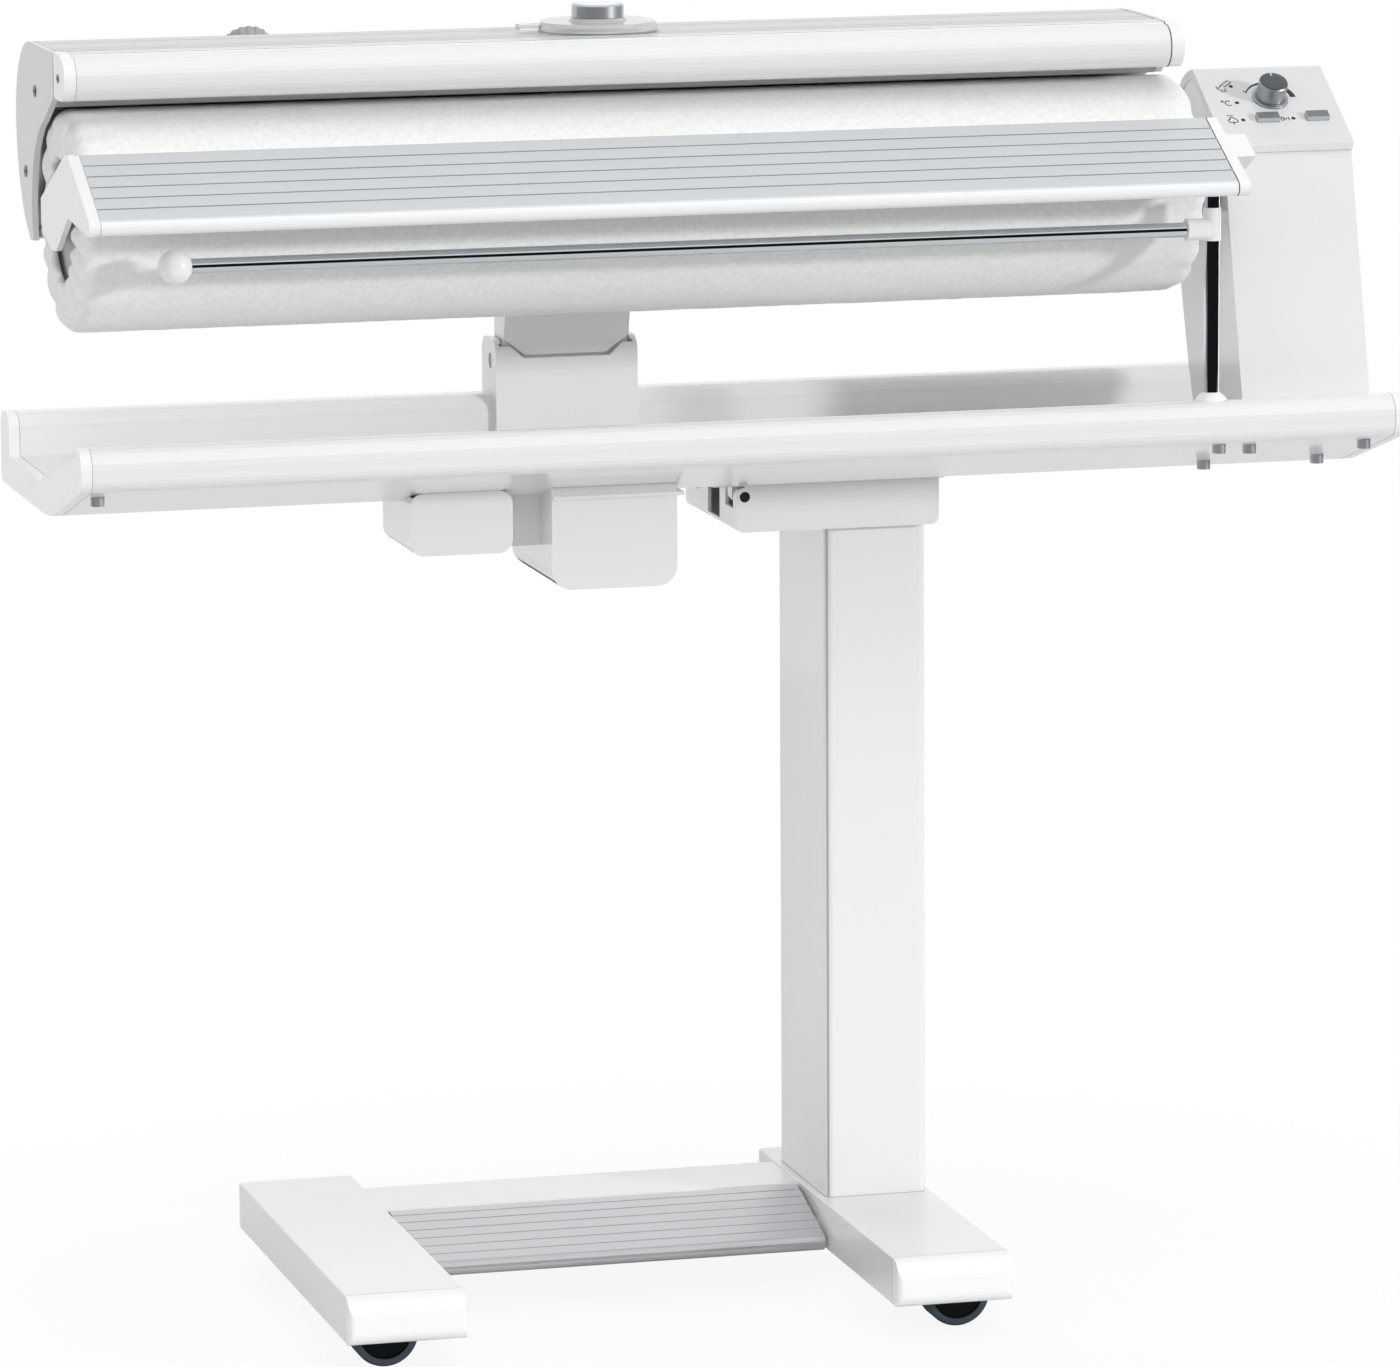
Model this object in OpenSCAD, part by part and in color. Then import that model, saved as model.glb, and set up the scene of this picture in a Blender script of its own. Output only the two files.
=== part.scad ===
// Flatwork ironer on a folding stand.
// A padded roller turns under a heated shoe; the whole ironing head hinges
// on the stand's column and folds down between the two castored feet.
// Frame: +X to the ironer's right, -Y towards the user, +Z up, floor at Z = 0.

/* [View] */
// Sub-part to draw, or all of them
// Smoothness of round parts
round_fn = 40; // [24:8:96]

/* [Stand] */
// Length of each foot from front to back
foot_l = 384; // [330:1:430]
// Width of each foot
foot_w = 87; // [80:1:100]
// Height of the foot channel
foot_h = 35; // [32:1:42]
// Underside of the feet above the floor
foot_gap = 27; // [22:0.5:30]
// Sheet thickness of the feet
foot_wall = 2; // [1.5:0.1:2.4]
// Distance between the centre lines of the two feet
foot_span = 408.5; // [380:0.5:440]
// Centre line of the right foot from the middle of the tray
foot_x = 133.5; // [120:0.5:145]
// Length of the plastic cap on the front of a foot
cap_l = 16; // [12:1:24]
// Radius of the cap's upper front edge
cap_r = 15; // [6:0.5:16]
// Radius of the cap's lower front edge
cap_chin_r = 9; // [3:0.5:12]
// Radius of the cap's upright edges
cap_edge_r = 4; // [2:0.5:8]
// Thickness of the plate that closes a foot at the back
foot_end_t = 4; // [3:0.5:6]
// Width of the crossbar that joins the feet
cross_d = 77; // [60:1:100]
// Height of the crossbar
cross_h = 28; // [20:1:30]
// Crossbar centre line from the back ends of the feet
cross_in = 75.5; // [65:0.5:90]
// Wall of the crossbar and of the column
tube_wall = 2.5; // [2:0.1:4]
// Width of the column
col_w = 78; // [65:1:84]
// Depth of the column
col_d = 132; // [110:1:145]
// Height of the column above the feet
col_h = 509.5; // [450:0.5:540]
// Column centre line behind the middle of the feet
col_y = 85; // [75:1:95]
// Radius of the column's upright edges
col_r = 6; // [3:0.5:10]

/* [Foot pedal] */
// Depth of the ribbed pedal plate
pedal_d = 82; // [70:1:95]
// Height of the pedal plate from its lip to its back edge
pedal_h = 33; // [28:0.5:34]
// Thickness of the pedal plate
pedal_t = 3; // [2.5:0.5:5]
// Radius of the rounded front lip
pedal_lip_r = 6; // [4:0.5:8]
// Gap between the pedal and each foot
pedal_gap = 3; // [2:0.5:6]
// Radius of the pedal's two hinge pins
pedal_pin_r = 3; // [2:0.25:4]
// Number of grooves along the pedal and along the feed board
grooves = 5; // [3:1:7]
// Width of one groove
groove_w = 1.6; // [1:0.1:2.4]

/* [Castors] */
// Radius of a castor wheel
wheel_r = 24.5; // [20:0.5:26]
// Width of one of the two wheels of a castor
wheel_w = 8; // [6:0.5:9]
// Distance between the two wheels of a castor
wheel_gap = 8; // [7:0.5:9]
// Distance from the swivel line to the axle
castor_trail = 11; // [8:0.5:13]
// Distance from the end of a foot to its castor's swivel line
castor_inset = 56; // [45:1:80]
// Radius of the swivel stem
stem_r = 5; // [4:0.5:7]

/* [Folding hinge] */
// Height of the hinge housing on the column
housing_h = 34.5; // [30:0.5:45]
// Depth of the hinge housing
housing_d = 144; // [134:1:160]
// Reach of the housing to the left of the column
housing_left = 71; // [60:1:80]
// Reach of the housing to the right of the column
housing_right = 7; // [3:1:20]
// Radius of the hinge pin
hinge_pin_r = 4; // [3:0.25:5]
// Hinge line from the left end of the housing
hinge_in = 7; // [6:0.5:8]
// Hinge line below the top of the housing
hinge_down = 8; // [7.5:0.5:10]
// Thickness of the plate under the tray
hinge_plate_t = 3; // [2:0.5:5]
// Width of each of the two hinge lugs
lug_w = 12; // [8:1:18]

/* [Tray] */
// Overall length of the tray with its end caps
tray_l = 985; // [940:1:1040]
// Depth of the tray
tray_d = 320; // [310:1:335]
// Height of the front rail above the tray's underside
tray_h = 65.5; // [58:0.5:72]
// Wall of the tray profile
tray_wall = 2.5; // [2:0.1:4]
// Thickness of the tray floor section
tray_floor_h = 22.5; // [18:0.5:26]
// Front edge of the tray in front of the middle of the feet
tray_front = 142; // [135:1:150]
// Thickness of each end cap
tray_cap_t = 8; // [5:0.5:12]

/* [Roller] */
// Radius of the padded roller
roller_r = 80; // [74:0.5:82]
// Thickness of the padding
padding_t = 8; // [5:0.5:12]
// Gap between the padded roller and the control box
roller_gap = 29; // [26:0.5:40]
// Left end of the roller from the left end of the tray
roller_inset = 11; // [10:0.5:16]
// Roller line above the underside of the tray
roller_rise = 213; // [205:0.5:225]
// Roller line in front of the middle of the feet
roller_front = 12; // [5:0.5:20]
// Wall of the steel drum
drum_wall = 3; // [2:0.5:5]
// Radius of the fixed axle
axle_r = 15; // [10:0.5:18]

/* [Heater] */
// Gap between the shoe and the padding with the heater raised
shoe_gap = 3.2; // [3:0.1:5]
// Thickness of the heated shoe
shoe_t = 8; // [6:0.5:10]
// Gap between the heater and the control box
heater_gap = 43; // [40:0.5:60]
// Left end of the heater from the left end of the tray
heater_inset = 5.5; // [4:0.5:9]
// Top of the hood above the roller line
hood_rise = 122.5; // [118:0.5:130]
// Back of the hood behind the roller line
hood_back = 131; // [128:0.5:136]
// Sheet thickness of the hood
hood_t = 1.6; // [1:0.1:2.5]
// Thickness of the left end plate of the hood
plate_t = 4.4; // [3:0.2:5]
// Thickness of the right end cap of the hood
hood_cap_t = 5.6; // [4:0.2:7]
// Depth of the finger guard
guard_d = 41; // [36:1:48]
// Height of the finger guard
guard_h = 33; // [28:0.5:36]
// Width of the arm that carries the heater
arm_w = 96; // [80:1:105]
// Radius of the arm's shaft
arm_shaft_r = 6; // [4:0.5:8]

/* [Pedestal] */
// Width of the pedestal behind the tray
ped_w = 109; // [100:1:120]
// Height of the pedestal's top above the tray floor
ped_h = 72; // [66:0.5:80]
// Wall of the pedestal
ped_wall = 3; // [2:0.5:4]
// Middle of the pedestal left of the middle of the tray
ped_x = 70.5; // [50:0.5:90]

/* [Feed board] */
// Depth of the sloping feed board
board_d = 84; // [70:0.5:88]
// Thickness of the feed board
board_t = 8; // [6:0.5:10]
// Slope of the feed board
board_a = 27; // [24:0.5:34]
// Thickness of the board's end brackets
board_cap_t = 8.5; // [6:0.5:11]
// Gap between the board's back edge and the roller
board_gap = 6; // [5:0.5:9]

/* [Laundry rail] */
// Radius of the chromed rod
rod_r = 5.5; // [4:0.25:6]
// Radius of the chromed post
post_r = 5.5; // [4:0.1:6]
// Radius of the ball on the end of the rod
ball_r = 12.3; // [9:0.1:14]
// Middle of the ball from the left end of the tray
ball_inset = 74; // [60:1:90]
// Rod line above the tray's underside
rod_rise = 190.5; // [185:0.5:194]
// Rod line in front of the middle of the feet
rod_front = 120; // [116:0.5:126]
// Post from the right end of the tray
post_inset = 143; // [138:0.5:150]
// Radius of the round socket that holds the post
socket_r = 13.5; // [11:0.5:16]

/* [Control box] */
// Width of the control box
box_w = 99; // [85:0.5:103]
// Right side of the box from the right end of the tray
box_inset = 7.5; // [4:0.5:12]
// Depth of the box at its foot
box_d = 118; // [105:1:125]
// Height of the box's front edge above the tray's underside
box_h = 236; // [225:1:245]
// Wall of the box
box_wall = 3; // [2:0.5:5]
// Thickness of the control panel cap
panel_t = 7; // [5:0.5:9]
// Slope of the control panel
panel_a = 32.5; // [25:0.5:38]
// Length of the control panel up the slope
panel_l = 89; // [80:1:95]
// Radius of the temperature knob
knob_r = 11; // [8:0.5:13]
// Height of the temperature knob
knob_h = 14; // [8:0.5:18]
// Width of a push button
button_w = 17; // [12:0.5:22]
// Depth of a push button
button_d = 7.5; // [5:0.5:9]
// Height of a push button above the panel
button_h = 4; // [3:0.5:6]

/* [Filler and drain] */
// Radius of the lid over the water filler
lid_r = 44; // [34:0.5:48]
// Height of the lid
lid_h = 10; // [7:0.5:12]
// Radius of the knob on the lid
filler_knob_r = 19; // [14:0.5:24]
// Height of the knob on the lid
filler_knob_h = 10; // [8:0.5:16]
// Radius of the drain knob at the back of the hood
drain_r = 18; // [14:0.5:22]
// Height of the drain knob
drain_h = 15; // [10:0.5:20]

/* [Hidden] */

white = [0.93, 0.94, 0.94];
cream = [0.95, 0.94, 0.90];
grey = [0.62, 0.64, 0.66];
black = [0.12, 0.12, 0.13];
steel = [0.72, 0.73, 0.75];

// Radial play of a pin in its bore
play = 0.05;
// Gap between faces that slide past each other
slide_gap = 0.4;
// Gap round a tube in a push-on moulding
seat_gap = 0.3;
// Overrun of every cut past the face it leaves
eps = 0.5;

// Stand
foot_top = foot_gap + foot_h;
foot_xs = [foot_x - foot_span, foot_x];
foot_y0 = -foot_l / 2;
plug_l = 9;
cross_drop = 1.5;
cross_y = foot_l / 2 - cross_in;
cross_x0 = foot_xs[0] + foot_w / 2;
cross_x1 = foot_xs[1] - foot_w / 2;
cross_top = foot_top - cross_drop;
cross_front = cross_y - cross_d / 2;
col_side = 1;
col_x0 = foot_x + col_side - col_w / 2;
col_x1 = col_x0 + col_w;
col_top = foot_top + col_h;

// Pedal
pedal_back = cross_front - pedal_gap;
pedal_z0 = cross_top - pedal_h;
pedal_barrel_r = pedal_pin_r + pedal_t;
pedal_line = [pedal_back - pedal_barrel_r, cross_top - pedal_t - pedal_barrel_r];
pedal_pin_l = 24;
pedal_brow_a = 110;
pedal_chin_a = 290;
pedal_x0 = cross_x0 + pedal_gap;
pedal_x1 = cross_x1 - pedal_gap;

// Castors: wheels seen from below stand outward of their swivel lines
castor_y = foot_l / 2 - castor_inset;
castor_side = 3.5;
castor_head_r = 13;
castor_head_h = 3.5;
castor_over = 1.4;
web_in = 1.2;
web_share = 0.8;
axle_pin_r = 3;
tyre_t = 5;
tyre_edge = 1.5;
hub_r = 8;
castor_head_z = 2 * wheel_r + castor_over;
boss_z = castor_head_z + castor_head_h + slide_gap;

// Folding hinge
house_side = 4;
house_r = 6;
house_x0 = col_x0 - housing_left;
house_x1 = col_x1 + housing_right;
house_y0 = col_y - housing_d / 2 - house_side;
house_y1 = house_y0 + housing_d;
house_top = col_top + housing_h;
hinge_x = house_x0 + hinge_in;
hinge_z = house_top - hinge_down;
hinge_gap = 0.5;
lug_r = hinge_pin_r + tube_wall;
lug_shares = [0.13, 0.83];
window_shares = [0.32, 0.55];
plate_lip = 3.5;

// Tray
tray_z0 = house_top + hinge_gap + hinge_plate_t;
tray_x0 = -tray_l / 2;
tray_x1 = tray_l / 2;
tray_y0 = -tray_front;
tray_y1 = tray_y0 + tray_d;
floor_z = tray_z0 + tray_floor_h;
rail_back_w = 35;
rail_back_h = 53.5;
rail_front_h = 32;
rail_front_w = 23;
rail_r = 12;
low_y = tray_y0 + tray_d / 2;
under_y = low_y - tray_d / 8;
rail_lip = 8;

// Roller
rol_x0 = tray_x0 + roller_inset;
plate_step = 7;
plate_low_a = -17;
plate_high_a = 72;
rol = [-roller_front, tray_z0 + roller_rise];
drum_r = roller_r - padding_t;
pad_end_t = 6;
pad_left_r = 9;
pad_right_r = 12;
pad_eye_r = 45;
disc_t = 5;
disc_in = 4;
sleeve_r = 23;
sleeve_room = 1;
drive_w = 56;
drive_gap = 6;

// Control box
box_x1 = tray_x1 - box_inset;
box_x0 = box_x1 - box_w;
rol_x1 = box_x0 - roller_gap;
roller_l = rol_x1 - rol_x0;
box_in = 50;
box_y0 = tray_y0 + box_in;
box_lean = 0.2527;
box_top_z = tray_z0 + box_h;
box_front = [box_y0 + box_lean * (box_top_z - floor_z), box_top_z];
panel_k = box_front + panel_l * [cos(panel_a), sin(panel_a)];
panel_back_r = 44;
panel_back_a = 81;
panel_heel_a = 20;
panel_lip = 2;
panel_brow_a = 85;
panel_c = panel_k - panel_back_r * [cos(panel_back_a), sin(panel_back_a)];
box_back_shares = [[0.44, 1.06], [0.39, 0.79], [0.305, 0.49], [0.144, 0.215], [0.06, 0.11]];
knob_ring_w = 2;
knob_ring_h = 1.5;
knob_x = box_x0 + box_w / 2;
knob_s = 54;
knob_edge = 1;
button_s = 29.5;
button_xs = [box_x0 + 0.41 * box_w, box_x0 + 0.8 * box_w];
button_travel = 2.5;
button_flange = 1.5;

// Heater
heat_x0 = tray_x0 + heater_inset;
heat_x1 = box_x0 - heater_gap;
heater_l = heat_x1 - heat_x0;
hood_x0 = heat_x0 + plate_t;
hood_x1 = heat_x1 - hood_cap_t;
shoe_r = roller_r + shoe_gap;
shoe_out = shoe_r + shoe_t;
shoe_low_a = -8.5;
shoe_high_a = 96;
hood_top = rol[1] + hood_rise;
hood_front = 19;
hood_y0 = rol[0] - hood_front;
hood_y1 = rol[0] + hood_back;
hood_r1 = 59;
hood_r2 = 102.5;
hood_end_a = -44;
hood_start_a = -4;
hood_steps = 8;
hood_lip = rol + [1.025 * roller_r, -0.269 * roller_r];
hood_lip_a = 214;
hood_c1 = [hood_y1 - hood_r1, hood_top - hood_r1];
hood_c2 = [hood_y1 - hood_r2, hood_c1[1]];
guard_gap = 3;
guard_y1 = hood_y0 - guard_gap;
guard_y0 = guard_y1 - guard_d;
guard_over = 1;
guard_step = 1.5;
guard_z1 = hood_top + guard_over;
guard_z0 = guard_z1 - guard_h;
guard_nose_r = 15.5;
guard_chin_r = 15;
ear_t = 4;
ear_r = 5;
ear_pin_r = 2.5;
ear_in = 8;
ear_down = 7;
ear_room = 1;
ear_line = [hood_y0 + ear_in, hood_top - ear_down];
guard_x0 = hood_x0 + slide_gap + ear_t;
guard_x1 = hood_x1 - slide_gap - ear_t;

// Pedestal and heater arm
ped_x0 = -ped_x - ped_w / 2;
ped_x1 = ped_x0 + ped_w;
ped_lap = 4.5;
ped_over = 6;
ped_slot = 2;
ped_y0 = tray_y1 - rail_back_w - ped_lap;
ped_y1 = tray_y1 + ped_over;
ped_z1 = floor_z + ped_h;
ped_r = 13;
arm_x0 = -ped_x - arm_w / 2;
arm_x1 = arm_x0 + arm_w;
arm_in = 18.5;
arm_line = [ped_y0 + arm_in, floor_z + 0.764 * ped_h];
arm_boss_r = 14.5;
notch_drop = 12;
notch_in = 17;
notch_h = 13;

// Under the tray
motor_in = 256.5;
motor_l = 76;
link_l = 29;
gear_l = 94;
case_in = 87;
unit_inset = 12;
motor_x0 = tray_x0 + motor_in;
motor_x1 = motor_x0 + motor_l;
motor_link_x1 = motor_x1 + link_l;
gear_x0 = motor_link_x1;
gear_x1 = gear_x0 + gear_l;
case_y0 = tray_y0 + case_in;
motor_drop = 34.5;
gear_drop = 64;
motor_d = 90;
gear_d = 123;
case_wall = 2.5;
motor_case_r = 10;
gear_case_r = 15;

// Feed board
board_in = 6;
board_over = 9.5;
board_x0 = tray_x0 + board_in;
board_x1 = rol_x1 + board_over;
board_plate_t = 4;
board_turn_a = 141;
board_b = rol + (roller_r + board_gap) * [cos(board_turn_a), sin(board_turn_a)];
board_dir = -[cos(board_a), sin(board_a)];
board_n = [sin(board_a), -cos(board_a)];
nose_r = 6;
nose_end_a = 285;
board_f = board_b + board_d * board_dir;
board_nose = board_f + nose_r * board_n;

// Laundry rail
post_x = tray_x1 - post_inset;
rod_l = post_x - tray_x0 - ball_inset;
rail_y = -rod_front;
rod_z = tray_z0 + rod_rise;
tee_h = 24;
tee_wall = 1;
tee_stub_r = 8;
tee_stub_l = 20;
socket_rise = 36;
socket_z = floor_z + socket_rise;
shank_wall = 2.5;
shank_l = 23;
post_z0 = socket_z - shank_l + shank_wall;
post_z1 = rod_z + tee_h;

// Filler and drain
fill_in = 415.5;
fill_back = 24;
fill_x = tray_x0 + fill_in;
fill_y = rol[0] + fill_back;
lid_rise = 1.6;
lid_step = 2.4;
filler_edge = 1.2;
fill_tab_l = 16;
fill_tab_w = 14;
fill_neck_r = 20;
lid_z1 = hood_top + lid_h;
drain_in = 176.5;
rib_r = 2;
drain_x = tray_x0 + drain_in;
drain_a = 40;
drain_foot = hood_c1 + hood_r1 * [cos(drain_a), sin(drain_a)];
drain_ribs = 18;
knob_stem_r = 4;
tank_gap = 4;
tank_low_a = 30;
tank_high_a = 92;
bolt_r = 5;
bolt_h = 6;

// Points of an arc about c, from angle a to angle b
function arc(c, r, a, b, n = 6) =
    [for (i = [0:n]) let (t = a + (b - a) * i / n) c + r * [cos(t), sin(t)]];

// Outline of a rectangle with four rounded corners
function rounded(x0, x1, y0, y1, r) = concat(
    arc([x1 - r, y1 - r], r, 0, 90), arc([x0 + r, y1 - r], r, 90, 180),
    arc([x0 + r, y0 + r], r, 180, 270), arc([x1 - r, y0 + r], r, 270, 360));

// Extrusion along X of an outline drawn in Y and Z
module bar_x(x0, x1) {
    translate([x0, 0, 0]) rotate([90, 0, 90]) linear_extrude(x1 - x0) children();
}

// Extrusion along Y of an outline drawn in X and Z
module bar_y(y0, y1) {
    translate([0, y1, 0]) rotate([90, 0, 0]) linear_extrude(y1 - y0) children();
}

module rod_x(x0, x1, p, r) {
    translate([x0, p[0], p[1]]) rotate([0, 90, 0]) cylinder(h = x1 - x0, r = r, $fn = round_fn);
}

module rod_y(y0, y1, p, r) {
    translate([p[0], y1, p[1]]) rotate([90, 0, 0]) cylinder(h = y1 - y0, r = r, $fn = round_fn);
}

module rod_z(z0, z1, p, r) {
    translate([p[0], p[1], z0]) cylinder(h = z1 - z0, r = r, $fn = round_fn);
}

module block(x0, x1, y0, y1, z0, z1) {
    translate([x0, y0, z0]) cube([x1 - x0, y1 - y0, z1 - z0]);
}

// Folded steel channel, open below, with a boss for each castor stem
module foot(x) {
    y0 = foot_y0 + cap_l;
    y1 = -foot_y0 - foot_end_t;
    difference() {
        union() {
            difference() {
                bar_y(y0, y1)
                    polygon(rounded(x - foot_w / 2, x + foot_w / 2, foot_gap, foot_top, foot_wall / 2));
                block(x - foot_w / 2 + foot_wall, x + foot_w / 2 - foot_wall,
                    y0 - eps, y1 + eps, foot_gap - eps, foot_top - foot_wall);
            }
            for (y = [-castor_y, castor_y])
                rod_z(boss_z, foot_top - foot_wall, [x + castor_side, y], castor_head_r);
        }
        for (y = [-castor_y, castor_y])
            rod_z(boss_z - eps, foot_top - foot_wall, [x + castor_side, y], stem_r + play);
    }
}

module foot_left() { color(white) foot(foot_xs[0]); }

module foot_right() { color(white) foot(foot_xs[1]); }

// Moulded nose, rounded all round its front, with a tongue into the channel
// that stays above the swing of the castor's wheels
module foot_cap(x) {
    y1 = foot_y0 + cap_l;
    intersection() {
        bar_x(x - foot_w / 2, x + foot_w / 2)
            polygon(concat(
                [[y1, foot_gap], [y1, foot_top]],
                arc([foot_y0 + cap_r, foot_top - cap_r], cap_r, 90, 180, 8),
                arc([foot_y0 + cap_chin_r, foot_gap + cap_chin_r], cap_chin_r, 180, 270)));
        translate([0, 0, foot_gap - eps]) linear_extrude(foot_h + 2 * eps)
            polygon(concat(
                [[x + foot_w / 2, y1], [x - foot_w / 2, y1]],
                arc([x - foot_w / 2 + cap_edge_r, foot_y0 + cap_edge_r], cap_edge_r, 180, 270),
                arc([x + foot_w / 2 - cap_edge_r, foot_y0 + cap_edge_r], cap_edge_r, 270, 360)));
    }
    block(x - foot_w / 2 + foot_wall, x + foot_w / 2 - foot_wall,
        y1, y1 + plug_l, castor_head_z, foot_top - foot_wall);
}

module foot_cap_left() { color(white) foot_cap(foot_xs[0]); }

module foot_cap_right() { color(white) foot_cap(foot_xs[1]); }

module foot_end(x) {
    y0 = -foot_y0 - foot_end_t;
    bar_y(y0, -foot_y0)
        polygon(rounded(x - foot_w / 2, x + foot_w / 2, foot_gap, foot_top, foot_wall));
    block(x - foot_w / 2 + foot_wall, x + foot_w / 2 - foot_wall,
        y0 - plug_l, y0, foot_gap + foot_wall, foot_top - foot_wall);
}

module foot_end_left() { color(white) foot_end(foot_xs[0]); }

module foot_end_right() { color(white) foot_end(foot_xs[1]); }

module crossbar() {
    y1 = cross_front + cross_d;
    color(white) bar_x(cross_x0, cross_x1) difference() {
        polygon(rounded(cross_front, y1, cross_top - cross_h, cross_top, tube_wall));
        polygon(rounded(cross_front + tube_wall, y1 - tube_wall,
            cross_top - cross_h + tube_wall, cross_top - tube_wall, tube_wall / 2));
    }
}

module column() {
    y0 = col_y - col_d / 2;
    color(white) translate([0, 0, foot_top]) linear_extrude(col_h) difference() {
        polygon(rounded(col_x0, col_x1, y0, y0 + col_d, col_r));
        polygon(rounded(col_x0 + tube_wall, col_x1 - tube_wall,
            y0 + tube_wall, y0 + col_d - tube_wall, col_r / 2));
    }
}

// Open-topped pressing that carries the hinge pin at its upper left corner
module hinge_housing() {
    color(white) difference() {
        bar_y(house_y0, house_y1) polygon(concat(
            [[house_x1, house_top], [hinge_x, house_top]],
            arc([hinge_x, hinge_z], hinge_in, 90, 180),
            arc([house_x0 + house_r, col_top + house_r], house_r, 180, 270),
            arc([house_x1 - house_r, col_top + house_r], house_r, 270, 360)));
        block(house_x0 + tube_wall, house_x1 - tube_wall, house_y0 + tube_wall,
            house_y1 - tube_wall, col_top + tube_wall, house_top + eps);
        rod_y(house_y0 - eps, house_y1 + eps, [hinge_x, hinge_z], hinge_pin_r);
        for (s = lug_shares)
            block(house_x0 - eps, house_x0 + tube_wall + eps,
                house_y0 + s * housing_d - lug_w / 2 - 2 * tube_wall,
                house_y0 + s * housing_d + lug_w / 2 + 2 * tube_wall,
                hinge_z - lug_r - tube_wall, house_top + eps);
        block(house_x0 - eps, house_x0 + tube_wall + eps,
            house_y0 + window_shares[0] * housing_d, house_y0 + window_shares[1] * housing_d,
            col_top + 2 * tube_wall, house_top + eps);
    }
}

module hinge_pin() {
    color(steel) rod_y(house_y0 + tube_wall / 2, house_y1 - tube_wall / 2,
        [hinge_x, hinge_z], hinge_pin_r);
}

// Two stub pins in the inner walls of the feet
module pedal_pins() {
    color(steel) {
        rod_x(cross_x0, pedal_x0 + pedal_pin_l, pedal_line, pedal_pin_r);
        rod_x(pedal_x1 - pedal_pin_l, cross_x1, pedal_line, pedal_pin_r);
    }
}

// Ribbed aluminium section: a sloping plate, a hinge barrel and a rolled lip
module pedal() {
    y0 = pedal_back - pedal_d;
    lip = [y0 + pedal_lip_r, pedal_z0 + pedal_lip_r];
    knee = [pedal_back - 0.24 * pedal_d, cross_top - 0.12 * pedal_h];
    brow = lip + pedal_lip_r * [cos(pedal_brow_a), sin(pedal_brow_a)];
    run = brow - knee;
    color(grey) difference() {
        bar_x(pedal_x0, pedal_x1) difference() {
            union() {
                polygon(concat(
                    [[pedal_back, cross_top], knee],
                    arc(lip, pedal_lip_r, pedal_brow_a, pedal_chin_a, 10),
                    [knee + [0, -pedal_t], [pedal_back, cross_top - pedal_t]]));
                translate(pedal_line) circle(r = pedal_barrel_r, $fn = round_fn);
                translate([pedal_line[0] - pedal_barrel_r / 2, pedal_line[1]])
                    square([pedal_barrel_r, pedal_barrel_r + pedal_t / 2]);
            }
            for (i = [1:grooves]) {
                p = knee + run * (i - 0.85) / grooves;
                translate(p) circle(r = groove_w / 2, $fn = round_fn);
            }
        }
        rod_x(pedal_x0 - eps, pedal_x1 + eps, pedal_line, pedal_pin_r + play);
    }
}

// Swivel head, stem, web between the wheels and the axle pin
module castor(x, y, side) {
    ax = x + side * castor_trail;
    web = wheel_gap / 2 - slide_gap;
    color(black) {
        rod_z(castor_head_z, castor_head_z + castor_head_h, [x, y], castor_head_r);
        rod_z(castor_head_z, foot_top - foot_wall - slide_gap, [x, y], stem_r);
        bar_y(y - web, y + web) polygon([
            [x - castor_head_r + web_in, castor_head_z + slide_gap],
            [x + castor_head_r - web_in, castor_head_z + slide_gap],
            [ax + web_share * hub_r, wheel_r], [ax - web_share * hub_r, wheel_r]]);
        rod_y(y - web, y + web, [ax, wheel_r], hub_r);
        rod_y(y - wheel_gap / 2 - wheel_w, y + wheel_gap / 2 + wheel_w, [ax, wheel_r], axle_pin_r);
    }
}

// One wheel about Z: tyre ring, dished face and hub round its bore
module wheel() {
    b = axle_pin_r + play;
    rotate_extrude($fn = round_fn) polygon([
        [b, 0], [wheel_r - tyre_edge, 0], [wheel_r, tyre_edge],
        [wheel_r, wheel_w - tyre_edge], [wheel_r - tyre_edge, wheel_w],
        [wheel_r - tyre_t, wheel_w], [wheel_r - tyre_t - tyre_edge, wheel_w - tyre_edge],
        [hub_r, wheel_w - tyre_edge], [hub_r - tyre_edge, wheel_w], [b, wheel_w]]);
}

module wheels(x, y, side) {
    ax = x + side * castor_trail;
    color(black) for (s = [-1, 1])
        translate([ax, y + s * wheel_gap / 2, wheel_r]) rotate([-s * 90, 0, 0]) wheel();
}

module castor_fl() { castor(foot_xs[0] + castor_side, -castor_y, -1); }

module castor_fr() { castor(foot_xs[1] + castor_side, -castor_y, 1); }

module castor_rl() { castor(foot_xs[0] + castor_side, castor_y, -1); }

module castor_rr() { castor(foot_xs[1] + castor_side, castor_y, 1); }

module wheels_fl() { wheels(foot_xs[0] + castor_side, -castor_y, -1); }

module wheels_fr() { wheels(foot_xs[1] + castor_side, -castor_y, 1); }

module wheels_rl() { wheels(foot_xs[0] + castor_side, castor_y, -1); }

module wheels_rr() { wheels(foot_xs[1] + castor_side, castor_y, 1); }

module hinge_plate() {
    x0 = hinge_x - 3.5 * hinge_in;
    z0 = house_top + hinge_gap;
    color(steel) {
        block(x0, house_x1 + plate_lip, house_y0 - tube_wall, house_y1 + tube_wall, z0, tray_z0);
        for (s = lug_shares) {
            y = house_y0 + s * housing_d;
            difference() {
                bar_y(y - lug_w / 2, y + lug_w / 2) {
                    translate([hinge_x, hinge_z]) circle(r = lug_r, $fn = round_fn);
                    translate([hinge_x - lug_r, hinge_z])
                        square([2 * lug_r, z0 + hinge_plate_t / 2 - hinge_z]);
                }
                rod_y(y - lug_w, y + lug_w, [hinge_x, hinge_z], hinge_pin_r + play);
            }
        }
    }
}

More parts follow.
